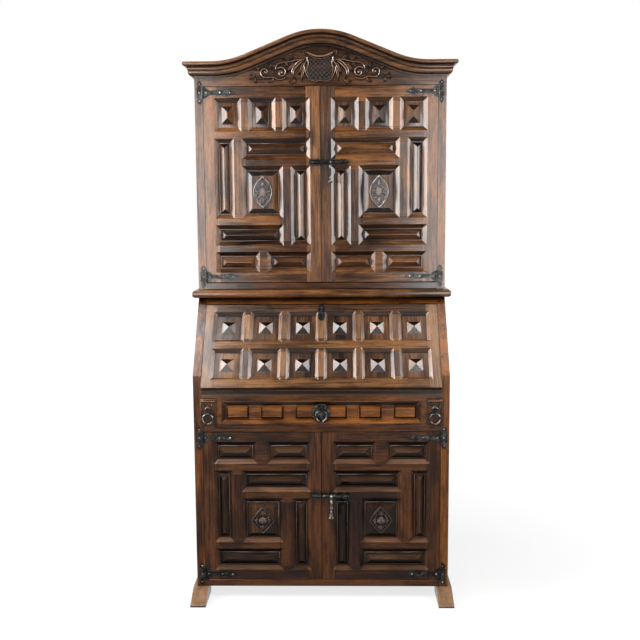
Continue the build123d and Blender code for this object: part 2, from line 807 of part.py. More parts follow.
# ------------------------------------------------------------------ bolts
upper_bolt_z = (upper_door_z + bottom_rail + upper_pair_height + 2.5 * level_bar + upper_low_row
                + upper_centre_row)
lower_bolt_z = lower_door_z + bottom_rail + lower_low_row + lower_centre_row + 1.5 * level_bar
bar_start = door_gap / 2 + 1.0


def round_bar(y, z, x0, x1, radius, mode=Mode.ADD):
    """A round length along X."""
    with BuildSketch(Plane.YZ.offset(x0)) as section:
        with Locations((y, z)):
            Circle(radius)
    extrude(section.sketch, amount=x1 - x0, mode=mode)


def build_bolt(prefix, front, z, drop_length):
    """Sliding bar, its two staples, the keeper on the other door and the hanging handle."""
    axis_y = front - bar_stand_off
    bar_end = bar_start + bar_length
    with BuildPart() as bolt_bar:
        round_bar(axis_y, z, bar_start, bar_end, bar_radius)
        chamfer(bolt_bar.edges().filter_by(GeomType.CIRCLE).sort_by(Axis.X)[:1], length=1.5)
        collar_step = (drop_width + collar_width) / 2 + joint_line
        for collar_x in (drop_x - collar_step, drop_x + collar_step):
            round_bar(axis_y, z, collar_x - collar_width / 2, collar_x + collar_width / 2, collar_radius)
    save(bolt_bar, f"{prefix}_bolt")

    with BuildPart() as bolt_staples:
        for staple_x in (staple_first, staple_first + staple_spacing):
            round_bar(axis_y, z, staple_x, staple_x + staple_width, bar_stand_off - 0.5)
            span_box((staple_x, staple_x + staple_width), (axis_y, front),
                     (z - bar_radius - 1.5, z + bar_radius + 1.5))
            foot_span = (staple_x - staple_foot, staple_x + staple_width + staple_foot)
            span_box(foot_span, (front - iron_thickness, front), (z - 12, z + 12))
            round_bar(axis_y, z, *foot_span, bar_radius + bar_clearance, mode=Mode.SUBTRACT)
    save(bolt_staples, f"{prefix}_bolt_staples")

    with BuildPart() as bolt_keeper:
        keeper_end = -bar_start
        keeper_x = (keeper_end - keeper_length, keeper_end)
        round_bar(axis_y, z, *keeper_x, keeper_radius)
        span_box(keeper_x, (axis_y, front), (z - keeper_radius + 1, z + keeper_radius - 1))
        span_box((keeper_x[0] + staple_foot, keeper_x[1] - staple_foot), (front - iron_thickness, front),
                 (z - 12, z + 12))
        round_bar(axis_y, z, *keeper_x, keeper_bore, mode=Mode.SUBTRACT)
    save(bolt_keeper, f"{prefix}_bolt_keeper")

    with BuildPart() as bolt_drop:
        drop_low = drop_x - drop_width / 2
        round_bar(axis_y, z, drop_low, drop_low + drop_width, bar_stand_off - 0.7)
        with BuildSketch(face_plane(drop_x, axis_y, z)):
            Polygon(
                (-3.5, -4), (-3.5, -0.62 * drop_length), (-2.5, -0.72 * drop_length),
                (-8, -0.96 * drop_length), (-5.5, -drop_length), (0, -0.9 * drop_length),
                (5.5, -drop_length), (8, -0.96 * drop_length), (2.5, -0.72 * drop_length),
                (3.5, -0.62 * drop_length), (3.5, -4), align=None,
            )
        extrude(amount=2, both=True)
        with BuildSketch(face_plane(drop_x, axis_y + 2.5, z)):
            with Locations((0, -0.5 * drop_length)):
                Circle(5.5)
        extrude(amount=7)
        round_bar(axis_y, z, drop_low, drop_low + drop_width, bar_radius + bar_clearance,
                  mode=Mode.SUBTRACT)
    save(bolt_drop, f"{prefix}_bolt_drop")


build_bolt("upper", upper_front_y, upper_bolt_z, upper_drop_length)
build_bolt("lower", front_y, lower_bolt_z, lower_drop_length)

# ================================================================== slant-front lid
lid_face = Plane(origin=(-lid_width / 2, *lid_point(0, lid_thickness)), x_dir=(1, 0, 0),
                 z_dir=(0, -slope_cos, slope_sin))
lid_inner_face = lid_face.offset(-lid_thickness)
lid_opening_width = (lid_width - 2 * lid_stile - (lid_columns - 1) * lid_bar) / lid_columns
lid_opening_height = (lid_length - lid_bottom_rail - lid_top_rail - lid_mid_bar) / 2
lid_groove = lid_thickness - lid_backing - tongue_depth

lid_openings = []
lid_members = [(0, 0, lid_stile + lid_bevel_width, lid_length),
               (lid_width - lid_stile - lid_bevel_width, 0, lid_width, lid_length)]
rail_ends = (lid_stile + lid_bevel_width, lid_width - lid_stile - lid_bevel_width)
row_starts = (lid_bottom_rail, lid_bottom_rail + lid_opening_height + lid_mid_bar)
for row_start in row_starts:
    for column in range(lid_columns):
        left = lid_stile + column * (lid_opening_width + lid_bar)
        lid_openings.append((left, row_start, left + lid_opening_width, row_start + lid_opening_height))
        if column:
            lid_members.append((left - lid_bar - lid_bevel_width, row_start + lid_bevel_width,
                                left + lid_bevel_width, row_start + lid_opening_height - lid_bevel_width))
rail_edges = ((0, lid_bottom_rail + lid_bevel_width),
              (row_starts[1] - lid_mid_bar - lid_bevel_width, row_starts[1] + lid_bevel_width),
              (lid_length - lid_top_rail - lid_bevel_width, lid_length))
lid_members += [(rail_ends[0], low, rail_ends[1], high) for low, high in rail_edges]

with BuildPart() as lid_frame:
    with BuildSketch(lid_face):
        rectangles(lid_members, inset=joint_line / 2)
    extrude(amount=lid_backing - lid_thickness)
    panel_groove(lid_face, lid_openings, lid_bevel_width, tongue_depth, lid_groove, tongue_reach,
                 lid_thickness - lid_backing)
save(lid_frame, "lid_frame")

with BuildPart() as lid_panels:
    lid_margin_face = lid_face.offset(-panel_depth)
    for rect in lid_openings:
        panel_board(lid_margin_face, rect, lid_bevel_width, lid_groove - panel_clearance)
        with BuildSketch(lid_margin_face):
            with Locations(((rect[0] + rect[2]) / 2, (rect[1] + rect[3]) / 2)):
                Rectangle(lid_point_size, lid_point_size)
        extrude(amount=lid_point_height,
                taper=degrees(atan2((lid_point_size - ridge_flat) / 2, lid_point_height)))
save(lid_panels, "lid_panels")

with BuildPart() as lid_writing_board:
    with BuildSketch(lid_inner_face):
        with Locations((lid_width / 2, lid_length / 2)):
            Rectangle(lid_width, lid_length)
    extrude(amount=lid_backing)
    for side in (-1, 1):
        centre_x = side * lid_hinge_x
        round_bar(hinge_y, bed_top, centre_x - hinge_half, centre_x + hinge_half, lid_barrel_radius + 0.4,
                  mode=Mode.SUBTRACT)
        with BuildSketch(lid_inner_face):
            with Locations((lid_width / 2 + centre_x, lid_leaf_reach / 2)):
                Rectangle(2 * hinge_half, lid_leaf_reach)
        extrude(amount=lid_leaf_thickness, mode=Mode.SUBTRACT)
save(lid_writing_board, "lid_writing_board")

with BuildPart() as lid_escutcheon:
    with BuildSketch(lid_face):
        with Locations((lid_width / 2, lid_length - escutcheon_height / 2 - 2)):
            RectangleRounded(escutcheon_width, escutcheon_height, 0.45 * escutcheon_width)
            with Locations((0, 4)):
                Circle(3, mode=Mode.SUBTRACT)
            Rectangle(2.6, 14, mode=Mode.SUBTRACT)
    extrude(amount=2)
save(lid_escutcheon, "lid_escutcheon")

# lid hinges: the middle knuckle turns with the lid, the outer ones stay on the writing bed
with BuildPart() as lid_hinge_flaps:
    for side in (-1, 1):
        centre_x = side * lid_hinge_x
        half = lid_hinge_middle / 2 - 0.2
        round_bar(hinge_y, bed_top, centre_x - half, centre_x + half, lid_barrel_radius)
        with BuildSketch(lid_inner_face):
            with Locations((lid_width / 2 + centre_x, (lid_barrel_radius + lid_leaf_reach) / 2 + 0.3)):
                Rectangle(2 * hinge_half - 1, lid_leaf_reach - lid_barrel_radius - 0.8)
            with Locations((lid_width / 2 + centre_x, lid_barrel_radius)):
                Rectangle(2 * half, 2 * lid_barrel_radius)
        extrude(amount=lid_leaf_thickness)
        round_bar(hinge_y, bed_top, centre_x - half, centre_x + half, pin_radius + pin_clearance,
                  mode=Mode.SUBTRACT)
save(lid_hinge_flaps, "lid_hinge_flaps")

with BuildPart() as lid_hinge_leaves:
    for side in (-1, 1):
        centre_x = side * lid_hinge_x
        for direction in (-1, 1):
            low, high = sorted((centre_x + direction * (lid_hinge_middle / 2 + 0.2),
                                centre_x + direction * (hinge_half - 0.5)))
            round_bar(hinge_y, bed_top, low, high, lid_barrel_radius)
            span_box((low, high), (hinge_y, front_y + 6), (bed_top - lid_leaf_thickness, bed_top))
        span_box((centre_x - hinge_half + 0.5, centre_x + hinge_half - 0.5),
                 (front_y + lid_barrel_radius + 0.8, front_y + lid_leaf_reach - 0.5),
                 (bed_top - lid_leaf_thickness, bed_top))
        round_bar(hinge_y, bed_top, centre_x - hinge_half + 1, centre_x + hinge_half - 1, pin_radius)
save(lid_hinge_leaves, "lid_hinge_leaves")

# ================================================================== long drawer
drawer_half = bay_half - drawer_gap
drawer_z = bay_bottom + drawer_gap
drawer_front_height = drawer_bay_height - 2 * drawer_gap
drawer_centre_z = drawer_z + drawer_front_height / 2
long_block = 2 * (drawer_half - drawer_rim - drawer_bevel) - 4 * short_block - 4 * block_gap
block_lengths = (short_block, short_block, long_block, short_block, short_block)

with BuildPart() as drawer_front:
    drawer_face = face_plane(0, front_y, drawer_centre_z)
    with BuildSketch(drawer_face):
        Rectangle(2 * drawer_half, drawer_front_height)
    extrude(amount=-drawer_front_thickness)
    with BuildSketch(drawer_face):
        Rectangle(2 * (drawer_half - drawer_rim), drawer_front_height - 2 * drawer_rim)
    extrude(amount=-drawer_recess, taper=degrees(atan2(drawer_bevel, drawer_recess)), mode=Mode.SUBTRACT)
    block_x = -(sum(block_lengths) + 4 * block_gap) / 2
    for length in block_lengths:
        with BuildSketch(drawer_face.offset(-drawer_recess)):
            with Locations((block_x + length / 2, 0)):
                Rectangle(length, block_height)
        extrude(amount=block_rise, taper=degrees(atan2(block_slope, block_rise)))
        block_x += length + block_gap
save(drawer_front, "drawer_front")

with BuildPart() as drawer_box:
    box_half = bay_half - drawer_gap - 1
    box_front = front_y + drawer_front_thickness
    box_back = box_front + drawer_box_depth
    side_z = (bay_bottom + 0.3, bay_bottom + 0.3 + drawer_side_height)
    for low_x, high_x in ((-box_half, -box_half + drawer_side), (box_half - drawer_side, box_half)):
        span_box((low_x, high_x), (box_front, box_back), side_z)
    inner_x = box_half - drawer_side - joint_line
    floor_z = side_z[0] + 6
    span_box((-inner_x, inner_x), (box_back - drawer_side, box_back),
             (floor_z + drawer_bottom_thickness + joint_line, side_z[1] - 5))
    span_box((-inner_x, inner_x), (box_front, box_back), (floor_z, floor_z + drawer_bottom_thickness))
save(drawer_box, "drawer_box")


def ear_eye(x, face, z, wire):
    """An ear that stands out of a plate, bored across for a ring."""
    with BuildSketch(Plane.YZ.offset(x - ear_width / 2)) as section:
        with Locations((face - ear_reach, z)):
            Circle(wire + ear_clearance + 2.5)
        with Locations((face - ear_reach / 2, z)):
            Rectangle(ear_reach, 2 * wire)
    extrude(section.sketch, amount=ear_width)
    round_bar(face - ear_reach, z, x - ear_width, x + ear_width, wire + ear_clearance,
              mode=Mode.SUBTRACT)


def hanging_ring(x, face, z, radius, wire):
    """A ring that hangs from the ear's hole, forged with eight flats."""
    with BuildSketch(Plane.XY.offset(z - radius)) as section:
        with Locations((x + radius, face - ear_reach)):
            RegularPolygon(wire, side_count=8, rotation=22.5)
    revolve(section.sketch, axis=Axis((x, face - ear_reach, z - radius), (0, 1, 0)))


drawer_plate_face = front_y + drawer_recess - block_rise
drawer_eye_z = drawer_centre_z + 8
with BuildPart() as drawer_plate:
    with BuildSketch(face_plane(0, drawer_plate_face, drawer_centre_z)):
        Circle(plate_radius)
        with PolarLocations(0.7 * plate_radius, 8, start_angle=22.5):
            RegularPolygon(0.15 * plate_radius, side_count=4, mode=Mode.SUBTRACT)
    extrude(amount=iron_thickness)
    ear_eye(0, drawer_plate_face - iron_thickness, drawer_eye_z, ring_wire)
save(drawer_plate, "drawer_plate")

with BuildPart() as drawer_ring:
    hanging_ring(0, drawer_plate_face - iron_thickness, drawer_eye_z, ring_radius, ring_wire)
save(drawer_ring, "drawer_ring")

# ================================================================== lopers
loper_eye_z = loper_bottom + loper_eye_height
loper_cap_back = front_y - loper_play
loper_cap_face = loper_cap_back - loper_cap_thickness
loper_cap_z = loper_top - loper_cap_clearance - loper_cap_height / 2
for name, side in (("left_loper", -1), ("right_loper", 1)):
    loper_x = side * (loper_inner + loper_play + loper_width / 2)
    with BuildPart() as loper:
        with BuildSketch(face_plane(loper_x, loper_cap_back, (loper_bottom + loper_top) / 2)):
            Rectangle(loper_width, loper_height)
        extrude(amount=-loper_length)
        with BuildSketch(face_plane(loper_x, loper_cap_back, loper_cap_z)):
            Rectangle(loper_cap_width, loper_cap_height)
        extrude(amount=loper_cap_thickness / 2)
        with BuildSketch(face_plane(loper_x, loper_cap_back - loper_cap_thickness / 2, loper_cap_z)):
            Rectangle(loper_cap_width - loper_cap_step, loper_cap_height - loper_cap_step)
        extrude(amount=loper_cap_thickness / 2, taper=30)
    save(loper, name)

    with BuildPart() as loper_eye:
        with BuildSketch(face_plane(loper_x, loper_cap_face, loper_eye_z)):
            Circle(loper_plate_radius)
        extrude(amount=iron_thickness)
        ear_eye(loper_x, loper_cap_face - iron_thickness, loper_eye_z, loper_ring_wire)
    save(loper_eye, f"{name}_eye")

    with BuildPart() as loper_ring:
        hanging_ring(loper_x, loper_cap_face - iron_thickness, loper_eye_z, loper_ring_radius,
                     loper_ring_wire)
    save(loper_ring, f"{name}_ring")

# ================================================================== desk gallery
gallery_front = inner_back_y - gallery_depth
gallery_half = inner_half - gallery_play
gallery_top = bed_top + gallery_height
shelf_low = bed_top + small_drawer_height
bay_pitch = (2 * gallery_half - gallery_board) / small_drawer_count
hole_pitch = (2 * gallery_half - gallery_board) / pigeonholes
gallery_y = (gallery_front, inner_back_y)

with BuildPart() as gallery_case:
    board = gallery_board
    span_box((-gallery_half, gallery_half), gallery_y, (gallery_top - board, gallery_top))
    span_box((-gallery_half, gallery_half), gallery_y, (shelf_low, shelf_low + board))
    for index in range(small_drawer_count + 1):
        low_x = -gallery_half + index * bay_pitch
        span_box((low_x, low_x + board), gallery_y, (bed_top, shelf_low - joint_line))
    for index in range(pigeonholes + 1):
        low_x = -gallery_half + index * hole_pitch
        span_box((low_x, low_x + board), gallery_y,
                 (shelf_low + board + joint_line, gallery_top - board - joint_line))
save(gallery_case, "gallery_case")

for index in range(small_drawer_count):
    low_x = -gallery_half + index * bay_pitch + gallery_board + small_drawer_gap
    high_x = low_x + bay_pitch - gallery_board - 2 * small_drawer_gap
    low_z = bed_top + 0.3
    high_z = shelf_low - small_drawer_gap
    wall = small_drawer_wall
    with BuildPart() as gallery_drawer:
        span_box((low_x, high_x), (gallery_front, inner_back_y - 5), (low_z, high_z))
        span_box((low_x + wall, high_x - wall), (gallery_front + 10, inner_back_y - 5 - wall),
                 (low_z + wall, high_z), mode=Mode.SUBTRACT)
        knob_x = (low_x + high_x) / 2
        knob_z = (low_z + high_z) / 2
        knob_end = gallery_front - knob_reach
        with BuildSketch(Plane.XY.offset(knob_z)):
            Polygon(
                (knob_x, knob_end),
                (knob_x + 0.6 * knob_radius, knob_end),
                (knob_x + knob_radius, knob_end + 0.3 * knob_reach),
                (knob_x + 0.5 * knob_radius, knob_end + 0.7 * knob_reach),
                (knob_x + 0.5 * knob_radius, gallery_front),
                (knob_x, gallery_front),
                align=None,
            )
        revolve(axis=Axis((knob_x, gallery_front, knob_z), (0, 1, 0)))
    save(gallery_drawer, f"gallery_drawer_{index + 1}")
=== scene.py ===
"""Looks of the Spanish-style secretary cabinet: waxed walnut, forged iron, carving and nail heads.

Metres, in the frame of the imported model: X to the right, the doors face -Y, +Z up. Carvings are
laid out in millimetres on the board that carries them.
"""
import json
from math import atan2, cos, exp, hypot, pi, sin

import bmesh
import bpy
from mathutils import Matrix, Vector


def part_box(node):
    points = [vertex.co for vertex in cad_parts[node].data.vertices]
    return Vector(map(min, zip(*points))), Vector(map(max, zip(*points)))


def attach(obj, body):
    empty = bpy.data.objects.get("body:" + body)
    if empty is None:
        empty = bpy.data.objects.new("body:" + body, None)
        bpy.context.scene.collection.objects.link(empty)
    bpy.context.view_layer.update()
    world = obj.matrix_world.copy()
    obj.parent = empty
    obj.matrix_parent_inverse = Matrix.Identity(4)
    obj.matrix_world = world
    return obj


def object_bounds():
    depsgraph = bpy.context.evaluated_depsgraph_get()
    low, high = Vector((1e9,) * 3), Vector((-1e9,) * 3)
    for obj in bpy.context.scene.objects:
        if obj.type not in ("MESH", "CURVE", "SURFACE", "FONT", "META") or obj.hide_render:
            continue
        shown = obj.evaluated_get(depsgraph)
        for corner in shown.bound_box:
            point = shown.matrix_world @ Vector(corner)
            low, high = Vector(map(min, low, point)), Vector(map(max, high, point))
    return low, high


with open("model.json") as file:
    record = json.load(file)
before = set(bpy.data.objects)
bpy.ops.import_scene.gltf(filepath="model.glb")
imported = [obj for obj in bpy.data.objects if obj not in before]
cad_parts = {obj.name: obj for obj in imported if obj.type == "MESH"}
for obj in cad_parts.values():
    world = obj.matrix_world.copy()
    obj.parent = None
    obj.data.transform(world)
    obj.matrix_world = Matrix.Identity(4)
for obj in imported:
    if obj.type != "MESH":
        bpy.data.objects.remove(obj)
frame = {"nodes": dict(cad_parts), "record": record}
cad_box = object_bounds()
nodes = frame["nodes"]
bodies = frame["record"]["behaviour"]["bodies"]
body_of = {node: body for body, members in bodies.items() for node in members}
mm = 0.001

# ---- groups of nodes
UPPER_DOORS = ("upper_left_door", "upper_right_door")
LOWER_DOORS = ("lower_left_door", "lower_right_door")
LID_NODES = ("lid_frame", "lid_panels", "lid_writing_board")
# The nodes of each finish. What isn't listed has the finish of the case.
FINISHES = {
    "foot": ("left_foot", "right_foot"),
    "inner": ("shelves", "lower_back", "upper_back", "dust_board", "upper_top", "gallery_case",
              "drawer_box", "lid_writing_board"),
    "lower_case": ("left_side", "right_side", "face_rails", "drawer_guides"),
    "cornice": ("cornice", "frieze"),
    "drawer": ("drawer_front", "left_loper", "right_loper"),
    "writing_bed": ("writing_bed",),
    "lid": ("lid_frame",),
    "door": ("upper_left_door_frame", "upper_right_door_frame"),
    "panel": ("upper_left_door_panels", "upper_right_door_panels", "lid_panels"),
    "lower_door": ("lower_left_door_frame", "lower_right_door_frame", "base_board"),
    "lower_panel": ("lower_left_door_panels", "lower_right_door_panels"),
    "iron": ("hinge_leaves", "upper_left_straps", "upper_right_straps", "lower_left_straps",
             "lower_right_straps", "upper_bolt", "upper_bolt_staples", "upper_bolt_keeper",
             "lower_bolt_staples", "lower_bolt_keeper", "lid_escutcheon", "lid_hinge_flaps",
             "lid_hinge_leaves", "drawer_plate", "left_loper_eye", "right_loper_eye"),
    "bright_iron": ("lower_bolt", "upper_bolt_drop", "drawer_ring", "left_loper_ring",
                    "right_loper_ring"),
    "bright_drop": ("lower_bolt_drop",),
}
finish_of = {node: finish for finish, members in FINISHES.items() for node in members}

# Seeds chosen for the tones that they give these nodes' boards. Other nodes use their own number.
BOARD_SEEDS = {"upper_left_door_frame": 93, "upper_right_door_frame": 82,
               "lower_left_door_frame": 133, "lower_right_door_frame": 100, "lid_frame": 135,
               "drawer_front": 108, "upper_left_side": 114, "upper_right_side": 130}

# ---- places read from the frame
front_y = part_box("left_side")[0].y
upper_front_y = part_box("upper_left_side")[0].y
writing_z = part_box("writing_bed")[1].z
ledge_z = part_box("desk_top")[0].z
bend_z = max(v.co.z for v in nodes["left_side"].data.vertices if v.co.y < front_y + mm)
slope = atan2(upper_front_y - front_y, ledge_z - bend_z)
frieze_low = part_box("frieze")[0]


def set_all(thing, **values):
    """The same thing with several of its properties set."""
    for name, value in values.items():
        setattr(thing, name, value)
    return thing


def new_object(name, data):
    """A new object in the scene."""
    made = bpy.data.objects.new(name, data)
    bpy.context.scene.collection.objects.link(made)
    return made


def object_from(name, mesh, material):
    """A new object in the scene from a bmesh, which is freed, in one material."""
    data = bpy.data.meshes.new(name)
    mesh.to_mesh(data)
    mesh.free()
    data.materials.append(material)
    return new_object(name, data)


# ======== camera
CAMERA_PLACE = (0.0628, -3.3569, 1.4314)
HEADING, TILT, ROLL = -0.0204, 0.1216, -0.0063
FOCAL_LENGTH = 895.943 / 640      # in widths of the image
SENSOR_WIDTH = 36


def place_camera():
    """The camera. Its position, heading, tilt, roll and focal length were fitted to the case."""
    forward = Vector((sin(HEADING) * cos(TILT), cos(HEADING) * cos(TILT), -sin(TILT)))
    level = Vector((cos(HEADING), -sin(HEADING), 0))
    upright = level.cross(forward)
    right = cos(ROLL) * level + sin(ROLL) * upright
    up = cos(ROLL) * upright - sin(ROLL) * level
    data = set_all(bpy.data.cameras.new("camera"), sensor_width=SENSOR_WIDTH,
                   lens=SENSOR_WIDTH * FOCAL_LENGTH)
    camera = new_object("camera", data)
    turn = Matrix((right, up, -forward)).transposed().to_4x4()
    camera.matrix_world = Matrix.Translation(CAMERA_PLACE) @ turn
    bpy.context.scene.camera = camera


# ======== node trees
BUMP_DISTANCE = 1.2 * mm


def set_inputs(tree, node, inputs):
    """Set a node's inputs: a plain value, or an output to link."""
    for key, value in inputs.items():
        if isinstance(value, bpy.types.NodeSocket):
            tree.links.new(value, node.inputs[key])
        else:
            node.inputs[key].default_value = value


def add_node(tree, kind, inputs=None, **settings):
    """A new node with its settings and its inputs."""
    made = set_all(tree.nodes.new(kind), **settings)
    set_inputs(tree, made, inputs or {})
    return made


def math_node(tree, operation, *values):
    """The output of a Math node."""
    return add_node(tree, "ShaderNodeMath", dict(enumerate(values)), operation=operation).outputs[0]


def vector_node(tree, operation, *values):
    """The output of a Vector Math node."""
    made = add_node(tree, "ShaderNodeVectorMath", dict(enumerate(values)), operation=operation)
    return made.outputs[1 if operation == "LENGTH" else 0]


def weighted_sum(tree, base, *terms):
    """A base plus each value times its weight."""
    for value, weight in terms:
        base = math_node(tree, "MULTIPLY_ADD", value, weight, base)
    return base


def highest(tree, first, *others):
    """The highest of the values."""
    for other in others:
        first = math_node(tree, "MAXIMUM", first, other)
    return first


def separate(tree, vector):
    """The three components of a vector."""
    return add_node(tree, "ShaderNodeSeparateXYZ", {0: vector}).outputs


def combine(tree, components):
    """The vector of three components."""
    return add_node(tree, "ShaderNodeCombineXYZ", dict(enumerate(components))).outputs[0]


def stored(tree, name, output="Fac"):
    """An attribute of the mesh, as a number or as a vector."""
    return add_node(tree, "ShaderNodeAttribute", attribute_name=name).outputs[output]


def surface(tree, output):
    """The place or the normal of the surface."""
    return add_node(tree, "ShaderNodeNewGeometry").outputs[output]


def new_material(name):
    """An empty node material with its output and a Principled shader."""
    material = bpy.data.materials.new(name)
    material.use_nodes = True
    tree = material.node_tree
    tree.nodes.clear()
    output = add_node(tree, "ShaderNodeOutputMaterial", name="output")
    shader = add_node(tree, "ShaderNodeBsdfPrincipled", name="shader")
    tree.links.new(shader.outputs[0], output.inputs["Surface"])
    return material, tree, shader


def noise(tree, place, scale, detail, distortion=0.0):
    """The value of a noise at a place."""
    inputs = {"Vector": place, "Scale": scale, "Detail": detail, "Distortion": distortion}
    return add_node(tree, "ShaderNodeTexNoise", inputs).outputs[0]


def stretched_noise(tree, place, along, across, detail=3.0, distortion=0.0):
    """Noise on wood coordinates, with its own frequency along and across the grain, per metre."""
    stretched = vector_node(tree, "MULTIPLY", place, (along, across, across))
    return noise(tree, stretched, 1.0, detail, distortion)


def bump(tree, height, strength):
    """The normal of a surface that rises with a height."""
    return add_node(tree, "ShaderNodeBump", {"Height": height, "Strength": strength,
                                             "Distance": BUMP_DISTANCE}).outputs[0]


def ramp(tree, factor, stops):
    """A colour ramp through (position, colour) stops."""
    made = add_node(tree, "ShaderNodeValToRGB", {"Fac": factor})
    elements = made.color_ramp.elements
    for position, _ in stops[1:-1]:
        elements.new(position)
    for element, (position, colour) in zip(elements, stops):
        element.position, element.color = position, (*colour, 1)
    return made.outputs[0]


def levels(tree, value, low, high, out_low=0.0, out_high=1.0):
    """A value remapped and clamped from one range to another."""
    return add_node(tree, "ShaderNodeMapRange",
                    {0: value, 1: low, 2: high, 3: out_low, 4: out_high}).outputs[0]


def mix_colours(tree, factor, first, second):
    """Two colours mixed by a factor."""
    first, second = ((*colour, 1) if isinstance(colour, tuple) else colour
                     for colour in (first, second))
    return add_node(tree, "ShaderNodeMix", {0: factor, 6: first, 7: second},
                    data_type="RGBA").outputs[2]


def scaled(colour, factor):
    """A colour times a factor, or times one factor for each channel."""
    factors = factor if isinstance(factor, tuple) else (factor,) * 3
    return tuple(value * part for value, part in zip(colour, factors))


# ======== wood
# Noises: frequency along and across the grain, per metre, then detail and distortion.
FIGURE, STREAK, FIBRE = (3.0, 26.0, 5.0, 1.0), (9.0, 190.0), (45.0, 1000.0, 2.0)
BLOTCH, RUBBING, SCUFFS = (5.0, 10.0, 3.0, 0.8), (14.0, 60.0), (10.0, 60.0)
# What the noises and the board's own tone add to the tone that picks the colour.
FIGURE_SHARE, STREAK_SHARE, BOARD_SHARE = 0.85, 0.65, 0.38
TONE_OFFSET = 0.435
# The tones of a wood's dark, middle and light colour.
DARK_AT, MIDDLE_AT, LIGHT_AT = 0.16, 0.47, 0.80
PORE_COVER = 0.6
REDNESS, REDDER = 0.35, (1.30, 0.85, 0.60)
# Shares for pores, for soiling and painted shade, and for rubbing and painted highlight.
PORE_SHADE, DIRT_AND_SHADE_TONE, WEAR_AND_HIGHLIGHT_SHADE = 0.45, 0.30, 1.5      # of the dark, dark and light colour
WOOD_BUMP, IRON_BUMP = 0.55, 0.5
# How far a hollow and a crack look for wood around them.
HOLLOW_REACH, CRACK_REACH = 22 * mm, 5 * mm
OCCLUSION_SAMPLES = 6
# How open a hollow is where its darkening, soiling and painted shade, is full, and a crack where
# that is full and where gone.
HOLLOW_FULL, CRACK_OPEN = 0.35, (0.55, 0.95)
# A face begins to count as turned up or sideways at the first cosine, and counts fully at the
# second. A face turned down does so over a range as wide as UNDER_BLEND.
TURNED = (0.25, 0.45)
UNDER_BLEND = 0.20
# Shares of the painted light on faces turned up, and of the crests' rubbed, painted highlight.
TOP_LIGHT_COVER, CREST_COVER = 0.85, 0.75
ANISOTROPY, COAT_ROUGHNESS, WOOD_IOR = 0.4, 0.15, 1.5


def occlusion(tree, reach):
    """One in the open, and down to zero where the surface is closed in within reach."""
    return add_node(tree, "ShaderNodeAmbientOcclusion", {"Distance": reach},
                    samples=OCCLUSION_SAMPLES).outputs["AO"]


def dirt_and_painted_shade(tree, hollow, grime=0.9, soot=0.97, ledge_grime=0.0, under_grime=0.0,
              under_from=TURNED[0], lying_clean=0.0, end_grime=0.0, shade=None):
    """Darkening from 0 to 1: soiling and painted shade in hollows and cracks, painted shade
    on faces turned up and down, and darker faces turned sideways.

    A larger spread widens the darkening around hollows, and boards that lie level can be spared
    the painted shade on turned faces. The shade argument paints a shadow on the case's front
    from one height to another.
    """
    # Soiling and painted shade in hollows and cracks, where the surface is closed in.
    dirt_and_shade = [levels(tree, hollow, HOLLOW_FULL, soot, grime, 0.0),
            levels(tree, occlusion(tree, CRACK_REACH), *CRACK_OPEN, grime, 0.0)]
    # Painted shade on faces turned up and on faces turned down, less on boards that lie level.
    if under_grime:
        ledge = stored(tree, "ledge")
        above = levels(tree, ledge, *TURNED, 0.0, ledge_grime)
        below = levels(tree, ledge, -under_from - UNDER_BLEND, -under_from, under_grime, 0.0)
        spared = weighted_sum(tree, 1.0, (stored(tree, "lying"), -lying_clean))
        dirt_and_shade.append(math_node(tree, "MULTIPLY", highest(tree, above, below), spared))
    # Darker on faces turned to a side.
    if end_grime:
        dirt_and_shade.append(levels(tree, stored(tree, "sideways"), *TURNED, 0.0, end_grime))
    # The lid's painted shadow on the case's front, between two heights.
    if shade:
        _, depth, height = separate(tree, surface(tree, "Position"))
        dirt_and_shade.append(math_node(tree, "MULTIPLY", levels(tree, height, *shade),
                              math_node(tree, "LESS_THAN", depth, front_y + mm)))
    return highest(tree, *dirt_and_shade)


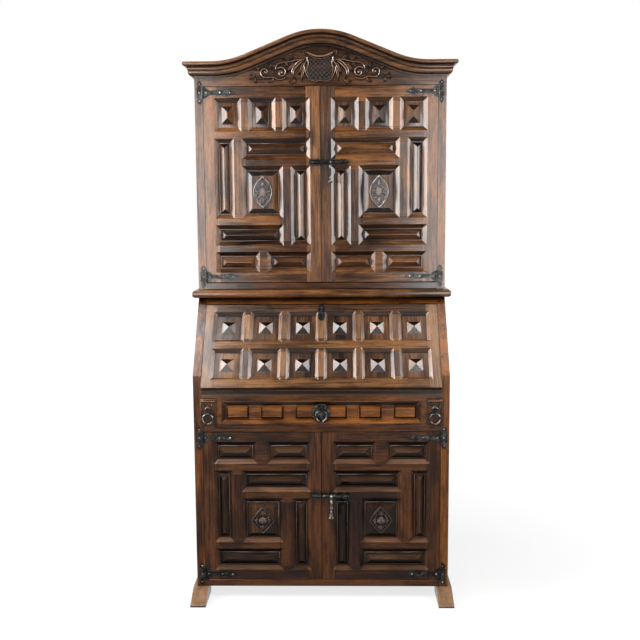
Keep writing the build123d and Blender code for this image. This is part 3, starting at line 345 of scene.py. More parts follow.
def wood_material(name, dark, middle, light, roughness=0.21, gloss=0.20, coat=0.06, ripple=1.0,
                  blotchy=0.85, wear=0.0, ledge_light=None, relief_light=None, **dirt_and_shade_settings):
    """Waxed walnut: streaked figure, pores, tone that changes from board to board, and darkening
    from soiling and painted shade.

    Rubbing makes the wood pale, also as a painted highlight on rounded edges. Faces turned up can
    take a colour of painted light, and a carving's crests one for rubbing and painted highlight.
    """
    material, tree, shader = new_material(name)
    place = stored(tree, "wood_co", "Vector")
    figure, streak, fibre, blotch = (stretched_noise(tree, place, *settings)
                                     for settings in (FIGURE, STREAK, FIBRE, BLOTCH))

    tone = weighted_sum(tree, -TONE_OFFSET - 0.5 * blotchy, (figure, FIGURE_SHARE),
                        (streak, STREAK_SHARE), (blotch, blotchy),
                        (stored(tree, "board_tone"), BOARD_SHARE))
    colour = ramp(tree, tone, [(DARK_AT, dark), (MIDDLE_AT, middle), (LIGHT_AT, light)])
    warmth = levels(tree, blotch, 0.50, 0.72, 0.0, REDNESS)
    colour = mix_colours(tree, warmth, colour, scaled(middle, REDDER))
    pores = levels(tree, fibre, 0.36, 0.46, PORE_COVER, 0.0)
    colour = mix_colours(tree, pores, colour, scaled(dark, PORE_SHADE))

    # Painted light from above: faces turned up take a paler colour.
    if ledge_light:
        pale = ramp(tree, tone, [(0.22, scaled(ledge_light, 0.40)), (0.50, ledge_light),
                                 (0.75, scaled(ledge_light, 1.7))])
        ledge = levels(tree, stored(tree, "ledge"), *TURNED, 0.0, TOP_LIGHT_COVER)
        colour = mix_colours(tree, ledge, colour, pale)
    hollow = occlusion(tree, HOLLOW_REACH)
    dirt_and_shade = dirt_and_painted_shade(tree, hollow, **dirt_and_shade_settings)
    # Darkened by soiling and painted shade.
    colour = mix_colours(tree, dirt_and_shade, colour, scaled(dark, DIRT_AND_SHADE_TONE))
    # Rubbed paler in the open: worn wood, and on rounded edges a painted highlight.
    if wear:
        rubbed = stretched_noise(tree, place, *RUBBING)
        rubbed = levels(tree, rubbed, 0.35, 0.65, 0.25 * wear, wear)
        rubbed = math_node(tree, "MULTIPLY", rubbed, levels(tree, hollow, 0.65, 0.95))
        colour = mix_colours(tree, rubbed, colour, scaled(light, WEAR_AND_HIGHLIGHT_SHADE))
    # Carving crests paler: partly worn, partly a painted highlight.
    if relief_light:
        crest = levels(tree, stored(tree, "relief"), 0.55, 1.0, 0.0, CREST_COVER)
        colour = mix_colours(tree, crest, colour, relief_light)

    shine = weighted_sum(tree, roughness - 0.09, (streak, 0.10), (blotch, 0.08))
    # The gloss is drawn out across the grain; the small sum keeps the tangent from being zero.
    across = vector_node(tree, "CROSS_PRODUCT", surface(tree, "Normal"),
                         stored(tree, "grain_way", "Vector"))
    across = vector_node(tree, "ADD", across, (0.002, 0.0013, 0.0007))
    relief = weighted_sum(tree, 0.0, (streak, 0.16), (fibre, 0.02), (figure, 0.8))
    set_inputs(tree, shader, {
        "Base Color": colour, "Roughness": shine, "Tangent": vector_node(tree, "NORMALIZE", across),
        "Normal": bump(tree, relief, WOOD_BUMP * ripple), "Anisotropic": ANISOTROPY,
        "IOR": WOOD_IOR, "Specular IOR Level": gloss, "Coat Weight": coat,
        "Coat Roughness": COAT_ROUGHNESS})
    return material


def foot_material(dark, middle, bare_and_lit):
    """Feet: stained like the case, paler in scuffs on the upper faces of the toes: worn through
    the stain, and painted light from above.
    """
    material = wood_material("worn_and_lit_foot", dark, middle, scaled(middle, 1.4))
    tree = material.node_tree
    shader = tree.nodes["shader"]
    stained = shader.inputs["Base Color"].links[0].from_socket
    scuffs = stretched_noise(tree, stored(tree, "wood_co", "Vector"), *SCUFFS)
    # Upper faces paler in scuffs: worn wood, and painted light from above.
    rise = separate(tree, surface(tree, "Normal"))[2]
    rubbed = math_node(tree, "MULTIPLY", levels(tree, rise, 0.10, 0.60),
                       levels(tree, scuffs, 0.05, 0.35))
    bare_and_lit_tone = ramp(tree, scuffs, [(0.38, scaled(bare_and_lit, 0.66)), (0.62, bare_and_lit)])
    set_inputs(tree, shader, {"Base Color": mix_colours(tree, rubbed, stained, bare_and_lit_tone)})
    return material


# ======== iron
RUST = (0.045, 0.022, 0.012)
RUST_COVER = 0.35
HAMMER_MARKS, SCALE_PATCHES, GRIT = 170.0, 90.0, 900.0      # per metre


def iron_material(name, base, worn, roughness):
    """Forged iron: hammered, blackened, and rubbed bright in patches."""
    material, tree, shader = new_material(name)
    place = surface(tree, "Position")
    hammer = add_node(tree, "ShaderNodeTexVoronoi", {"Vector": place, "Scale": HAMMER_MARKS},
                      feature="SMOOTH_F1").outputs["Distance"]
    patches = noise(tree, place, SCALE_PATCHES, 4.0)
    grit = noise(tree, place, GRIT, 2.0)
    colour = mix_colours(tree, levels(tree, patches, 0.48, 0.66), base, worn)
    colour = mix_colours(tree, levels(tree, grit, 0.58, 0.72, 0.0, RUST_COVER), colour, RUST)
    shine = weighted_sum(tree, roughness - 0.12, (patches, 0.25))
    height = weighted_sum(tree, hammer, (grit, 0.15))
    set_inputs(tree, shader, {"Base Color": colour, "Roughness": shine, "Metallic": 0.9,
                              "Normal": bump(tree, height, IRON_BUMP)})
    return material


# ======== modifiers for the boards
CORNER_ANGLE = 0.49      # an edge that turns more than this, in radians, is a corner
JOIN_DISTANCE = 0.02 * mm
SEED_STEP = 131.0      # more than any node has boards
LYING_RATIO = 2.0      # a board's spread along X over that along Z, from which it lies level
FINE_EDGE, PLAIN_EDGE, LOWER_PANEL_EDGE, LID_FRAME_EDGE = 0.5 * mm, 1.1 * mm, 1.6 * mm, 2.8 * mm


def geometry_group(name, extra_inputs=()):
    """A geometry node group with its geometry input and output, and the node at each end."""
    group = bpy.data.node_groups.new(name, "GeometryNodeTree")
    group.interface.new_socket("Geometry", in_out="INPUT", socket_type="NodeSocketGeometry")
    for label in extra_inputs:
        group.interface.new_socket(label, in_out="INPUT", socket_type="NodeSocketFloat")
    group.interface.new_socket("Geometry", in_out="OUTPUT", socket_type="NodeSocketGeometry")
    return group, add_node(group, "NodeGroupInput"), add_node(group, "NodeGroupOutput")


def store(group, geometry, label, value, kind, domain):
    """The geometry with a value stored on it as an attribute."""
    inputs = {"Geometry": geometry, "Name": label, "Value": value}
    return add_node(group, "GeometryNodeStoreNamedAttribute", inputs, data_type=kind,
                    domain=domain).outputs[0]


def shade_smooth(group, geometry, domain, smooth, selection=True):
    """The geometry with its selected faces or edges shaded smooth or sharp."""
    inputs = {"Geometry": geometry, "Selection": selection, "Shade Smooth": smooth}
    return add_node(group, "GeometryNodeSetShadeSmooth", inputs, domain=domain).outputs[0]


def build_clean_edges():
    """Group to join split vertices, mark convex corners for the bevel and shade corners sharp."""
    group, start, end = geometry_group("clean_edges")
    geometry = add_node(group, "GeometryNodeMergeByDistance",
                        {"Geometry": start.outputs[0], "Distance": JOIN_DISTANCE}).outputs[0]
    geometry = add_node(group, "GeometryNodeRemoveAttribute",
                        {"Geometry": geometry, "Name": "custom_normal"}).outputs[0]
    angle = add_node(group, "GeometryNodeInputMeshEdgeAngle").outputs
    convex = math_node(group, "LESS_THAN", angle["Signed Angle"], -CORNER_ANGLE)
    sharp = math_node(group, "GREATER_THAN", angle["Unsigned Angle"], CORNER_ANGLE)
    geometry = store(group, geometry, "bevel_weight_edge", convex, "FLOAT", "EDGE")
    geometry = shade_smooth(group, geometry, "FACE", True)
    geometry = shade_smooth(group, geometry, "EDGE", False, sharp)
    group.links.new(geometry, end.inputs[0])


def clean_edges(piece):
    """Clean a piece's edges with the group above."""
    group = bpy.data.node_groups["clean_edges"]
    piece.modifiers.new("clean_edges", "NODES").node_group = group


def per_board(group, value, board, kind="FLOAT_VECTOR"):
    """The sum of a value over all vertices of the same board."""
    return add_node(group, "GeometryNodeAccumulateField", {0: value, "Group ID": board},
                    data_type=kind, domain="POINT").outputs["Total"]


def turned_about_x(group, vector, angle):
    """A vector turned about the X axis."""
    return add_node(group, "ShaderNodeVectorRotate", {"Vector": vector, "Angle": angle},
                    rotation_type="X_AXIS").outputs[0]


def board_spread(group, level, board):
    """How far a board's vertices spread along each axis, as sums of squares."""
    share = math_node(group, "DIVIDE", 1.0, per_board(group, 1.0, board, "FLOAT"))
    mean = vector_node(group, "MULTIPLY", per_board(group, level, board), share)
    offset = vector_node(group, "SUBTRACT", level, mean)
    squares = vector_node(group, "MULTIPLY", offset, offset)
    return separate(group, per_board(group, squares, board))


def longest_axis(group, spread):
    """Three numbers, of which the one for the axis that a board is longest along is 1."""
    x, y, z = spread
    along_x = math_node(group, "MULTIPLY", math_node(group, "GREATER_THAN", x, y),
                        math_node(group, "GREATER_THAN", x, z))
    not_x = math_node(group, "SUBTRACT", 1.0, along_x)
    along_z = math_node(group, "MULTIPLY", math_node(group, "GREATER_THAN", z, y), not_x)
    return along_x, math_node(group, "SUBTRACT", not_x, along_z), along_z


def grain_group():
    """Find each board's long axis, and store what the wood needs.

    wood_co runs along the grain first, grain_way is the grain's direction and board_tone a random
    tone per board. Lying marks boards that lie level, and ledge and sideways say how far a face
    is turned up and to a side. Tilt levels the parts of the slanting lid first.
    """
    group, start, end = geometry_group("board_grain", ("Tilt", "Seed"))
    tilt = start.outputs["Tilt"]
    place = add_node(group, "GeometryNodeInputPosition").outputs[0]
    level = turned_about_x(group, place, tilt)
    board = add_node(group, "GeometryNodeInputMeshIsland").outputs["Island Index"]
    spread = board_spread(group, level, board)
    along = longest_axis(group, spread)

    x, y, z = separate(group, level)
    wood = (0.0, 0.0, 0.0)
    for order, weight in zip(((x, y, z), (y, z, x), (z, x, y)), along):
        part = add_node(group, "ShaderNodeVectorMath", {0: combine(group, order), "Scale": weight},
                        operation="SCALE").outputs[0]
        wood = vector_node(group, "ADD", wood, part)
    identity = weighted_sum(group, board, (start.outputs["Seed"], SEED_STEP))
    shift = add_node(group, "FunctionNodeRandomValue",
                     {0: (0.0, 0.0, 0.0), 1: (40.0, 40.0, 40.0), "ID": identity},
                     data_type="FLOAT_VECTOR").outputs[0]
    tone = add_node(group, "FunctionNodeRandomValue", {2: 0.0, 3: 1.0, "ID": identity},
                    data_type="FLOAT").outputs[1]
    wood = vector_node(group, "ADD", wood, shift)
    back = math_node(group, "MULTIPLY", tilt, -1.0)
    way = turned_about_x(group, combine(group, along), back)

    normal = add_node(group, "GeometryNodeInputNormal").outputs[0]
    facing = separate(group, turned_about_x(group, normal, tilt))
    sideways = math_node(group, "ABSOLUTE", facing[0])
    lying = math_node(group, "GREATER_THAN", spread[0],
                      math_node(group, "MULTIPLY", spread[2], LYING_RATIO))
    geometry = start.outputs[0]
    for label, value, kind, domain in (
            ("wood_co", wood, "FLOAT_VECTOR", "POINT"), ("grain_way", way, "FLOAT_VECTOR", "POINT"),
            ("board_tone", tone, "FLOAT", "POINT"), ("lying", lying, "FLOAT", "POINT"),
            ("sideways", sideways, "FLOAT", "FACE"), ("ledge", facing[2], "FLOAT", "FACE")):
        geometry = store(group, geometry, label, value, kind, domain)
    group.links.new(geometry, end.inputs[0])
    return group


# ======== carving
# Heights across a carved band, from edge to edge, as shares of its own height.
ROUND_SECTION = [0.0, 0.6, 0.9, 1.0, 0.9, 0.6, 0.0]
LEAF_SECTION = [0.0, 0.75, 1.0, 0.45, 1.0, 0.75, 0.0]
# How deep carving and nails reach into the ground, in millimetres.
SUNK, DOME_SUNK = 0.4, 0.3
DOME_RINGS, DOME_SIDES = 4, 16
SCROLL_DECAY = 0.95


class Carving:
    """A relief on a ground that faces -Y: u to the right, v upwards and h out of it, in mm."""

    def __init__(self, origin):
        self.mesh = bmesh.new()
        self.heights = []
        self.origin = Vector(origin)

    def vertex(self, u, v, h):
        """A new vertex of the relief. Its height is kept for the finish."""
        self.heights.append(h)
        return self.mesh.verts.new(self.origin + mm * Vector((u, -h, v)))

    def band(self, spine, widths, height, section):
        """A carved band along a spine; the section gives its height across, from edge to edge."""
        rows = []
        last = len(section) - 1
        for index, (u, v) in enumerate(spine):
            before = spine[max(index - 1, 0)]
            after = spine[min(index + 1, len(spine) - 1)]
            run = hypot(after[0] - before[0], after[1] - before[1])
            side_u, side_v = (before[1] - after[1]) / run, (after[0] - before[0]) / run
            row = []
            for number, share in enumerate(section):
                reach = (2 * number / last - 1) * widths[index] / 2
                rise = height * share * min(1.0, widths[index] / max(widths) + 0.25)
                row.append(self.vertex(u + side_u * reach, v + side_v * reach, rise - SUNK))
            rows.append(row)
        for near, far in zip(rows, rows[1:]):
            for number in range(last):
                self.mesh.faces.new((near[number], near[number + 1], far[number + 1], far[number]))
        for row in (rows[0], rows[-1]):
            self.mesh.faces.new(row)

    def stem(self, spine, width, height, taper=1.0):
        """A rounded stem that narrows towards its end."""
        last = len(spine) - 1
        widths = [width * (1 - (1 - taper) * index / last) for index in range(last + 1)]
        self.band(spine, widths, height, ROUND_SECTION)

    def leaf(self, spine, width, height):
        """A pointed leaf with a hollow midrib."""
        last = len(spine) - 1
        widths = [width * max(0.06, sin(pi * (index / last) ** 0.7)) for index in range(last + 1)]
        self.band(spine, widths, height, LEAF_SECTION)

    def dome(self, u, v, radius, height):
        """A round boss, bead or nail head."""
        top = self.vertex(u, v, height)
        loops = []
        for ring in range(1, DOME_RINGS + 1):
            lean = 0.5 * pi * ring / DOME_RINGS
            h = height * cos(lean) - (DOME_SUNK if ring == DOME_RINGS else 0.0)
            loop = []
            for step in range(DOME_SIDES):
                turn = 2 * pi * step / DOME_SIDES
                loop.append(self.vertex(u + radius * sin(lean) * cos(turn),
                                        v + radius * sin(lean) * sin(turn), h))
            loops.append(loop)
        for step in range(DOME_SIDES):
            after = (step + 1) % DOME_SIDES
            self.mesh.faces.new((top, loops[0][step], loops[0][after]))
            for inner, outer in zip(loops, loops[1:]):
                self.mesh.faces.new((inner[step], outer[step], outer[after], inner[after]))

    def plate(self, outline, height):
        """A flat plate with straight sides."""
        base = [self.vertex(u, v, -SUNK) for u, v in outline]
        top = [self.vertex(u, v, height) for u, v in outline]
        self.mesh.faces.new(top)
        for index in range(len(outline)):
            after = (index + 1) % len(outline)
            self.mesh.faces.new((base[index], base[after], top[after], top[index]))

    def finish(self, name, material, body):
        """The finished piece, in its material and on its body, with its sharp edges kept."""
        bmesh.ops.recalc_face_normals(self.mesh, faces=self.mesh.faces)
        piece = object_from(name, self.mesh, material)
        data = piece.data
        places = [value for vertex in data.vertices for value in vertex.co]
        ways = [1.0, 0.0, 0.0] * len(data.vertices)
        crest = max(self.heights)
        heights = [height / crest for height in self.heights]
        for label, kind, key, values in (("wood_co", "FLOAT_VECTOR", "vector", places),
                                         ("grain_way", "FLOAT_VECTOR", "vector", ways),
                                         ("relief", "FLOAT", "value", heights)):
            data.attributes.new(label, kind, "POINT").data.foreach_set(key, values)
        clean_edges(piece)
        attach(piece, body)


def curve_through(points, steps=8):
    """A smooth line through a few points (Catmull-Rom)."""
    ends = [points[0], *points, points[-1]]
    line = []
    for a, b, c, d in zip(ends, ends[1:], ends[2:], ends[3:]):
        for step in range(steps):
            t = step / steps
            line.append(tuple(0.5 * (2 * q + (r - p) * t + (2 * p - 5 * q + 4 * r - s) * t * t
                                     + (3 * q - p - 3 * r + s) * t ** 3)
                              for p, q, r, s in zip(a, b, c, d)))
    return line + [points[-1]]


def spiral(centre, radius, start, turns, side, steps=30):
    """A scroll's line, winding inwards from a start angle."""
    line = []
    for step in range(steps + 1):
        turned = turns * step / steps
        reach = radius * exp(-SCROLL_DECAY * turned)
        angle = start + 2 * pi * turned
        line.append((side * (centre[0] + reach * cos(angle)), centre[1] + reach * sin(angle)))
    return line


def mirrored(points, side):
    """The same points on the left or the right."""
    return [(side * u, v) for u, v in points]


# ---- frieze
# Millimetres from the middle of the frieze's lower edge. What isn't on the middle is mirrored.
SHIELD = [(-34, 20), (0, 14), (34, 20), (50, 48), (56, 68), (46, 86), (40, 104), (0, 98),
          (-40, 104), (-46, 86), (-56, 68), (-50, 48)]
SHIELD_HEIGHT = 1.6
TRELLIS_HALF, TRELLIS_LOW, TRELLIS_HIGH = 42.0, 26.0, 97.0
TRELLIS_STEP, TRELLIS_SIDE_BARS, TRELLIS_SHORTEST = 16.0, 7, 8
TRELLIS_WIDTH, TRELLIS_HEIGHT = 3.3, 5.9
SHIELD_ROLLS = (      # line, width, height
    ([(-47, 118), (-24, 108), (0, 104), (24, 108), (47, 118)], 11, 8.0),
    ([(-44, 110), (-22, 100), (0, 96), (22, 100), (44, 110)], 5, 6.5),
    ([(-40, 22), (-20, 15), (0, 18), (20, 15), (40, 22)], 6, 7.0),
)
TENDRILS = (      # line, width, height, taper
    ([(46, 102), (50, 88), (60, 70), (54, 64)], 6.5, 8.0, 0.6),
    ([(60, 72), (52, 44), (38, 20)], 6.5, 8.0, 0.6),
    ([(49, 100), (43, 80), (48, 58), (42, 34)], 6.5, 8.0, 0.6),
    ([(58, 92), (84, 92), (112, 86), (140, 82), (158, 76), (163, 60)], 7.5, 7.0, 0.8),
    ([(128, 28), (150, 22), (172, 30), (190, 30), (206, 30)], 7, 7.0, 1.0),
    ([(196, 31), (222, 26), (244, 33)], 5.5, 6.0, 0.6),
)
SCROLLS = (      # centre, radius, start, turns, then the stem's width, height and taper
    ((54, 119), 10, -0.5 * pi, 1.2, 5, 7.0, 0.5),
    ((142, 47), 21, 0.25 * pi, 1.5, 8, 7.5, 0.45),
    ((203, 49), 19, -0.5 * pi, 1.4, 7.5, 7.5, 0.45),
)
BOSSES = ((54, 119, 3.2, 7.5), (142, 47, 5.5, 8.0), (203, 49, 5.0, 7.5))      # u, v, radius, height
FROND_HEIGHT, LEAFLET_HEIGHT = 8.0, 7.0
FRONDS = (      # line, width
    ([(60, 92), (82, 78), (101, 50), (88, 14)], 20), ([(58, 84), (68, 62), (80, 36)], 14),
    ([(54, 66), (64, 44), (66, 14)], 14), ([(90, 74), (108, 66), (122, 44)], 14),
    ([(88, 22), (100, 12), (116, 16)], 12),
)
LEAFLETS = (      # line, width
    ([(84, 92), (92, 104), (104, 108)], 10), ([(92, 98), (98, 90), (110, 96)], 9),
    ([(112, 86), (124, 98), (140, 95)], 11), ([(126, 84), (120, 74), (108, 72)], 10),
    ([(160, 66), (174, 72), (186, 66)], 11), ([(162, 44), (174, 50), (178, 62)], 9),
    ([(172, 30), (176, 18), (192, 12)], 11), ([(188, 62), (182, 74), (196, 80)], 9),
    ([(222, 58), (232, 66), (240, 62)], 9), ([(238, 34), (250, 44), (258, 38)], 11),
    ([(238, 32), (252, 30), (260, 22)], 11), ([(238, 30), (240, 18), (232, 12)], 10),
)
FLOWER_U, FLOWER_V, FLOWER_RADIUS, FLOWER_PETALS = 97, 104, 10, 5
PETAL = (7, 6.5)      # width and height


def carve_trellis(ground):
    """Bars that cross at right angles, cut off at the trellis's edges."""
    centre_v = (TRELLIS_LOW + TRELLIS_HIGH) / 2
    for lean in (-1, 1):
        for count in range(-TRELLIS_SIDE_BARS, TRELLIS_SIDE_BARS + 1):
            ends = []
            for v in (TRELLIS_LOW, TRELLIS_HIGH):
                u = count * TRELLIS_STEP + lean * (v - centre_v)
                clipped = max(-TRELLIS_HALF, min(TRELLIS_HALF, u))
                ends.append((clipped, v - lean * (u - clipped)))
            if abs(ends[0][1] - ends[1][1]) > TRELLIS_SHORTEST:
                ground.stem(ends, TRELLIS_WIDTH, TRELLIS_HEIGHT)


def carve_frieze(material):
    """Trellis shield between acanthus fronds, with scrolled tendrils out to both sides."""
    ground = Carving((0, frieze_low.y, frieze_low.z))
    ground.plate(SHIELD, SHIELD_HEIGHT)
    carve_trellis(ground)
    for line, *stem in SHIELD_ROLLS:
        ground.stem(curve_through(line), *stem)
    for side in (-1, 1):
        for line, *stem in TENDRILS:
            ground.stem(curve_through(mirrored(line, side)), *stem)
        for centre, radius, start, turns, *stem in SCROLLS:
            ground.stem(spiral(centre, radius, start, turns, side), *stem)
        for u, v, radius, height in BOSSES:
            ground.dome(side * u, v, radius, height)
        for leaves, height in ((FRONDS, FROND_HEIGHT), (LEAFLETS, LEAFLET_HEIGHT)):
            for line, width in leaves:
                ground.leaf(curve_through(mirrored(line, side)), width, height)
        heart = (side * FLOWER_U, FLOWER_V)
        for petal in range(FLOWER_PETALS):
            angle = 2 * pi * petal / FLOWER_PETALS + 0.5 * pi
            tip = (heart[0] + FLOWER_RADIUS * cos(angle), heart[1] + FLOWER_RADIUS * sin(angle))
            ground.leaf(curve_through([heart, tip], 6), *PETAL)
    ground.finish("frieze_carving", material, body_of["frieze"])


# ---- medallions
# Width and height of the boss, in millimetres, and how far the rim swells between its tips.
UPPER_MEDALLION, LOWER_MEDALLION = (74, 124, 0.76), (86, 102, 0.58)
RIM = 0.94      # the rim's reach, as a share of the boss
RIM_STEM = (4.6, 4.9)      # its width and height
# Leaves: width, as a share of the boss's half width, and height.
HEART_LEAF, SIDE_LEAF, TIP_LEAF, QUARTER_LEAF = (0.30, 6.0), (0.30, 5.5), (0.26, 5.5), (0.22, 5.0)
HEART_LEAVES = 8
# Lines of small leaves in one quarter, as shares of the boss's half width and half height.
QUARTER_LEAVES = (((0.44, 0.12), (0.62, 0.30)), ((0.36, 0.30), (0.44, 0.48)),
                  ((0.10, 0.42), (0.30, 0.60)), ((0.06, 0.60), (0.16, 0.78)))


def medallion_centre(raised, width):
    """The centre of the flat boss, by its width, among the highest points of a door's panels."""
    return [((left.x + right.x) / 2, left.z) for left in raised for right in raised
            if abs(left.z - right.z) < 0.3 * mm
            and abs(right.x - left.x - width * mm) < 0.4 * mm][-1]


def carve_medallion(door, size, material):
    """Leaf relief on a door's middle panel: a ring of leaves, larger ones around it, a rim."""
    width, height, swell = size
    top_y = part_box(f"{door}_panels")[0].y
    raised = [vertex.co for vertex in nodes[f"{door}_panels"].data.vertices
              if vertex.co.y < top_y + 0.2 * mm]
    centre_x, centre_z = medallion_centre(raised, width)
    ground = Carving((centre_x, top_y, centre_z))
    half_u, half_v = width / 2, height / 2

    def leaf(start, end, broad, rise, steps=8):
        """A leaf between two places, which are shares of the boss's half width and height."""
        places = [(share_u * half_u, share_v * half_v) for share_u, share_v in (start, end)]
        ground.leaf(curve_through(places, steps), broad * half_u, rise)

    corners = [(side_u * swell * half_u * RIM, side_v * 0.5 * half_v * RIM)
               for side_u, side_v in ((1, 1), (-1, 1), (-1, -1), (1, -1))]
    tips = [(0, half_v * RIM), (-half_u * RIM, 0), (0, -half_v * RIM), (half_u * RIM, 0)]
    ground.plate([place for pair in zip(corners, tips) for place in pair], 1.4)
    for corner, tip, start in zip(corners, tips, tips[-1:] + tips[:-1]):
        ground.stem(curve_through([start, corner, tip], 6), *RIM_STEM)
    for turn in range(HEART_LEAVES):
        angle = 2 * pi * (turn + 0.5) / HEART_LEAVES
        leaf((0, 0), (0.46 * cos(angle), 0.34 * sin(angle)), *HEART_LEAF)
    for side_u in (-1, 1):
        leaf((side_u * 0.36, 0), (side_u * 0.80, 0), *SIDE_LEAF)
        for side_v in (-1, 1):
            for start, end in QUARTER_LEAVES:
                leaf((side_u * start[0], side_v * start[1]), (side_u * end[0], side_v * end[1]),
                     *QUARTER_LEAF, steps=6)
    for side_v in (-1, 1):
        leaf((0, side_v * 0.30), (0, side_v * 0.82), *TIP_LEAF)
    ground.dome(0, 0, 0.12 * half_u, 4.6)
    ground.finish(f"{door}_medallion", material, body_of[f"{door}_panels"])


# ---- nails and lopers
IRON_THICKNESS = 2.5 * mm
STRAP_WING = 18 * mm      # from a strap's middle to the end of its wings
STRAP_NAILS = (18, 56, 107)      # millimetres from the strap's tip
STRAP_NAIL, LEAF_NAIL = (2.7, 1.6), (2.6, 1.6)      # radius and height
LEAF_NAILS, LEAF_NAIL_RISES = 131, (-31, 0, 31)
SHELL_RADIUS, SHELL_RIBS = 17, 5
LOPER_CARVING_TOP = 32 * mm      # from the loper's top down to the carving's middle
LOPER_BARS = (      # half length, v, width, height
    (26, 24, 6.5, 6.0), (22, 15.5, 4.5, 4.5), (24, -64, 3.5, 3.0))


def drive_nails(material):
    """Domed nail heads on the straps and the hinge leaves."""
    for door in (*UPPER_DOORS, *LOWER_DOORS):
        side = -1 if "left" in door else 1
        low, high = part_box(f"{door.replace('_door', '')}_straps")
        tip_x = low.x if side > 0 else high.x
        face_y = upper_front_y if door in UPPER_DOORS else front_y
        for count, height in enumerate((low.z + STRAP_WING, high.z - STRAP_WING), 1):
            tip = (tip_x, face_y - IRON_THICKNESS, height)
            ground = Carving(tip)
            for reach in STRAP_NAILS:
                ground.dome(side * reach, 0, *STRAP_NAIL)
            ground.finish(f"{door}_strap_nails_{count}", material, door)
            ground = Carving(tip)
            for rise in LEAF_NAIL_RISES:
                ground.dome(side * LEAF_NAILS, rise, *LEAF_NAIL)
            ground.finish(f"{door}_leaf_nails_{count}", material, body_of["hinge_leaves"])


def carve_lopers(material):
    """A small capital with a shell, between two long beads, on the front of each loper."""
    for side in ("left", "right"):
        low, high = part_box(f"{side}_loper")
        ground = Carving(((low.x + high.x) / 2, low.y, high.z - LOPER_CARVING_TOP))
        for rib in range(SHELL_RIBS):
            angle = -0.5 * pi + 0.50 * (rib - SHELL_RIBS // 2)
            tip = (SHELL_RADIUS * cos(angle), SHELL_RADIUS * sin(angle))
            ground.leaf(curve_through([(0, 3), tip]), 8, 4.0)
        ground.dome(0, 3, 4.0, 4.5)
        for side_u in (-1, 1):
            ground.stem(spiral((17, 6), 6.5, 0.5 * pi, 1.2, side_u, 20), 4, 4.0, taper=0.5)
            ground.stem([(side_u * 22, -8), (side_u * 22, -62)], 3.0, 2.2)
        for half_length, v, *stem in LOPER_BARS:
            ground.stem([(-half_length, v), (half_length, v)], *stem)
        ground.finish(f"{side}_loper_shell", material, body_of[f"{side}_loper"])


# ======== finishes of the nodes
# Woods as their dark, middle and light colour.
WALNUT = (0.0085, 0.0032, 0.0014), (0.085, 0.031, 0.0085), (0.330, 0.130, 0.036)
RED_WALNUT = (0.010, 0.0030, 0.0010), (0.112, 0.036, 0.0076), (0.35, 0.122, 0.024)
LOWER_WALNUT = [(0.0115, 0.0044, 0.0020),
                *(scaled(tone, (0.50, 0.44, 0.42)) for tone in WALNUT[1:])]
LID_WALNUT = (0.012, 0.0042, 0.0014), (0.082, 0.031, 0.0072), (0.280, 0.115, 0.027)
BED_WALNUT = (0.040, 0.018, 0.008), (0.105, 0.049, 0.020), (0.21, 0.105, 0.045)
INNER_WOOD = (0.10, 0.052, 0.024), (0.19, 0.10, 0.048), (0.30, 0.17, 0.085)
DARKER, LOWER_DARKER = ([scaled(tone, factor) for tone in WALNUT] for factor in (0.80, 0.55))
DRAWER_WALNUT = [scaled(tone, 1.25) for tone in RED_WALNUT]
MEDALLION_WALNUT = WALNUT[0], scaled(WALNUT[1], 0.55), scaled(WALNUT[2], 0.45)
# The feet's paler upper faces: worn wood and painted light.
BARE_AND_LIT_WOOD = (0.30, 0.165, 0.085)
# The colour of painted light on the lower doors' faces turned up.
LOWER_TOP_LIGHT = (0.15, 0.072, 0.036)
# Heights between which the writing bed's front carries the lid's painted shadow.
BED_SHADE = (writing_z - 18 * mm, writing_z - 9 * mm)
DULL = {"gloss": 0.14, "coat": 0.02}
# By name: the wood's colours, its settings, and the settings of its rounded edges if they differ.
WALNUTS = {
    "case": (WALNUT, {"blotchy": 0.60}, {"wear": 0.35}),
    "lower_case": (RED_WALNUT, {"blotchy": 0.60, **DULL}, {"wear": 0.35, **DULL}),
    "drawer": (DRAWER_WALNUT, {"under_grime": 0.9, "end_grime": 0.85, **DULL},
               {"wear": 0.5, **DULL}),
    "door": (WALNUT, {"under_grime": 0.6}, {"wear": 0.35}),
    "lid": (LID_WALNUT, {"under_grime": 0.6, "gloss": 0.24, "roughness": 0.28},
            {"wear": 0.7, "gloss": 0.4, "roughness": 0.28}),
    "writing_bed": (BED_WALNUT, {"shade": BED_SHADE, "blotchy": 0.5, **DULL}),
    "panel": (DARKER, {"grime": 1.0, "ledge_grime": 0.92, "under_grime": 0.92,
                       "lying_clean": 0.85}, {"wear": 0.3}),
    "lower_door": (LOWER_WALNUT, {"under_grime": 0.9, "soot": 1.02, "ledge_light": LOWER_TOP_LIGHT,
                                  **DULL}, {"wear": 0.4, **DULL}),
    "lower_panel": (LOWER_DARKER, {"grime": 1.0, "under_grime": 0.95, "soot": 1.14,
                                   "ledge_light": scaled(LOWER_TOP_LIGHT, 0.5), "end_grime": 0.6,
                                   **DULL}, {"wear": 0.35, **DULL}),
    "cornice": (DARKER, {"grime": 1.0, "ripple": 0.6, "soot": 1.10, "under_grime": 0.92,
                         "under_from": 0.48}, {"ripple": 0.6, "wear": 0.3, "soot": 1.10}),
    "carving": (DARKER, {"grime": 0.85, "ripple": 0.4, "gloss": 0.5,
                         "relief_light": (0.46, 0.25, 0.14)}),
    "loper_carving": (DRAWER_WALNUT, {"grime": 0.8, "ripple": 0.4, "gloss": 0.4,
                                      "relief_light": (0.52, 0.29, 0.20)}),
    "medallion": (MEDALLION_WALNUT, {"grime": 1.0, "ripple": 0.4, "gloss": 0.7,
                                     "relief_light": (0.66, 0.52, 0.44)}),
    "lower_medallion": (LOWER_DARKER, {"grime": 0.8, "ripple": 0.4, **DULL,
                                       "relief_light": (0.34, 0.25, 0.20)}),
}
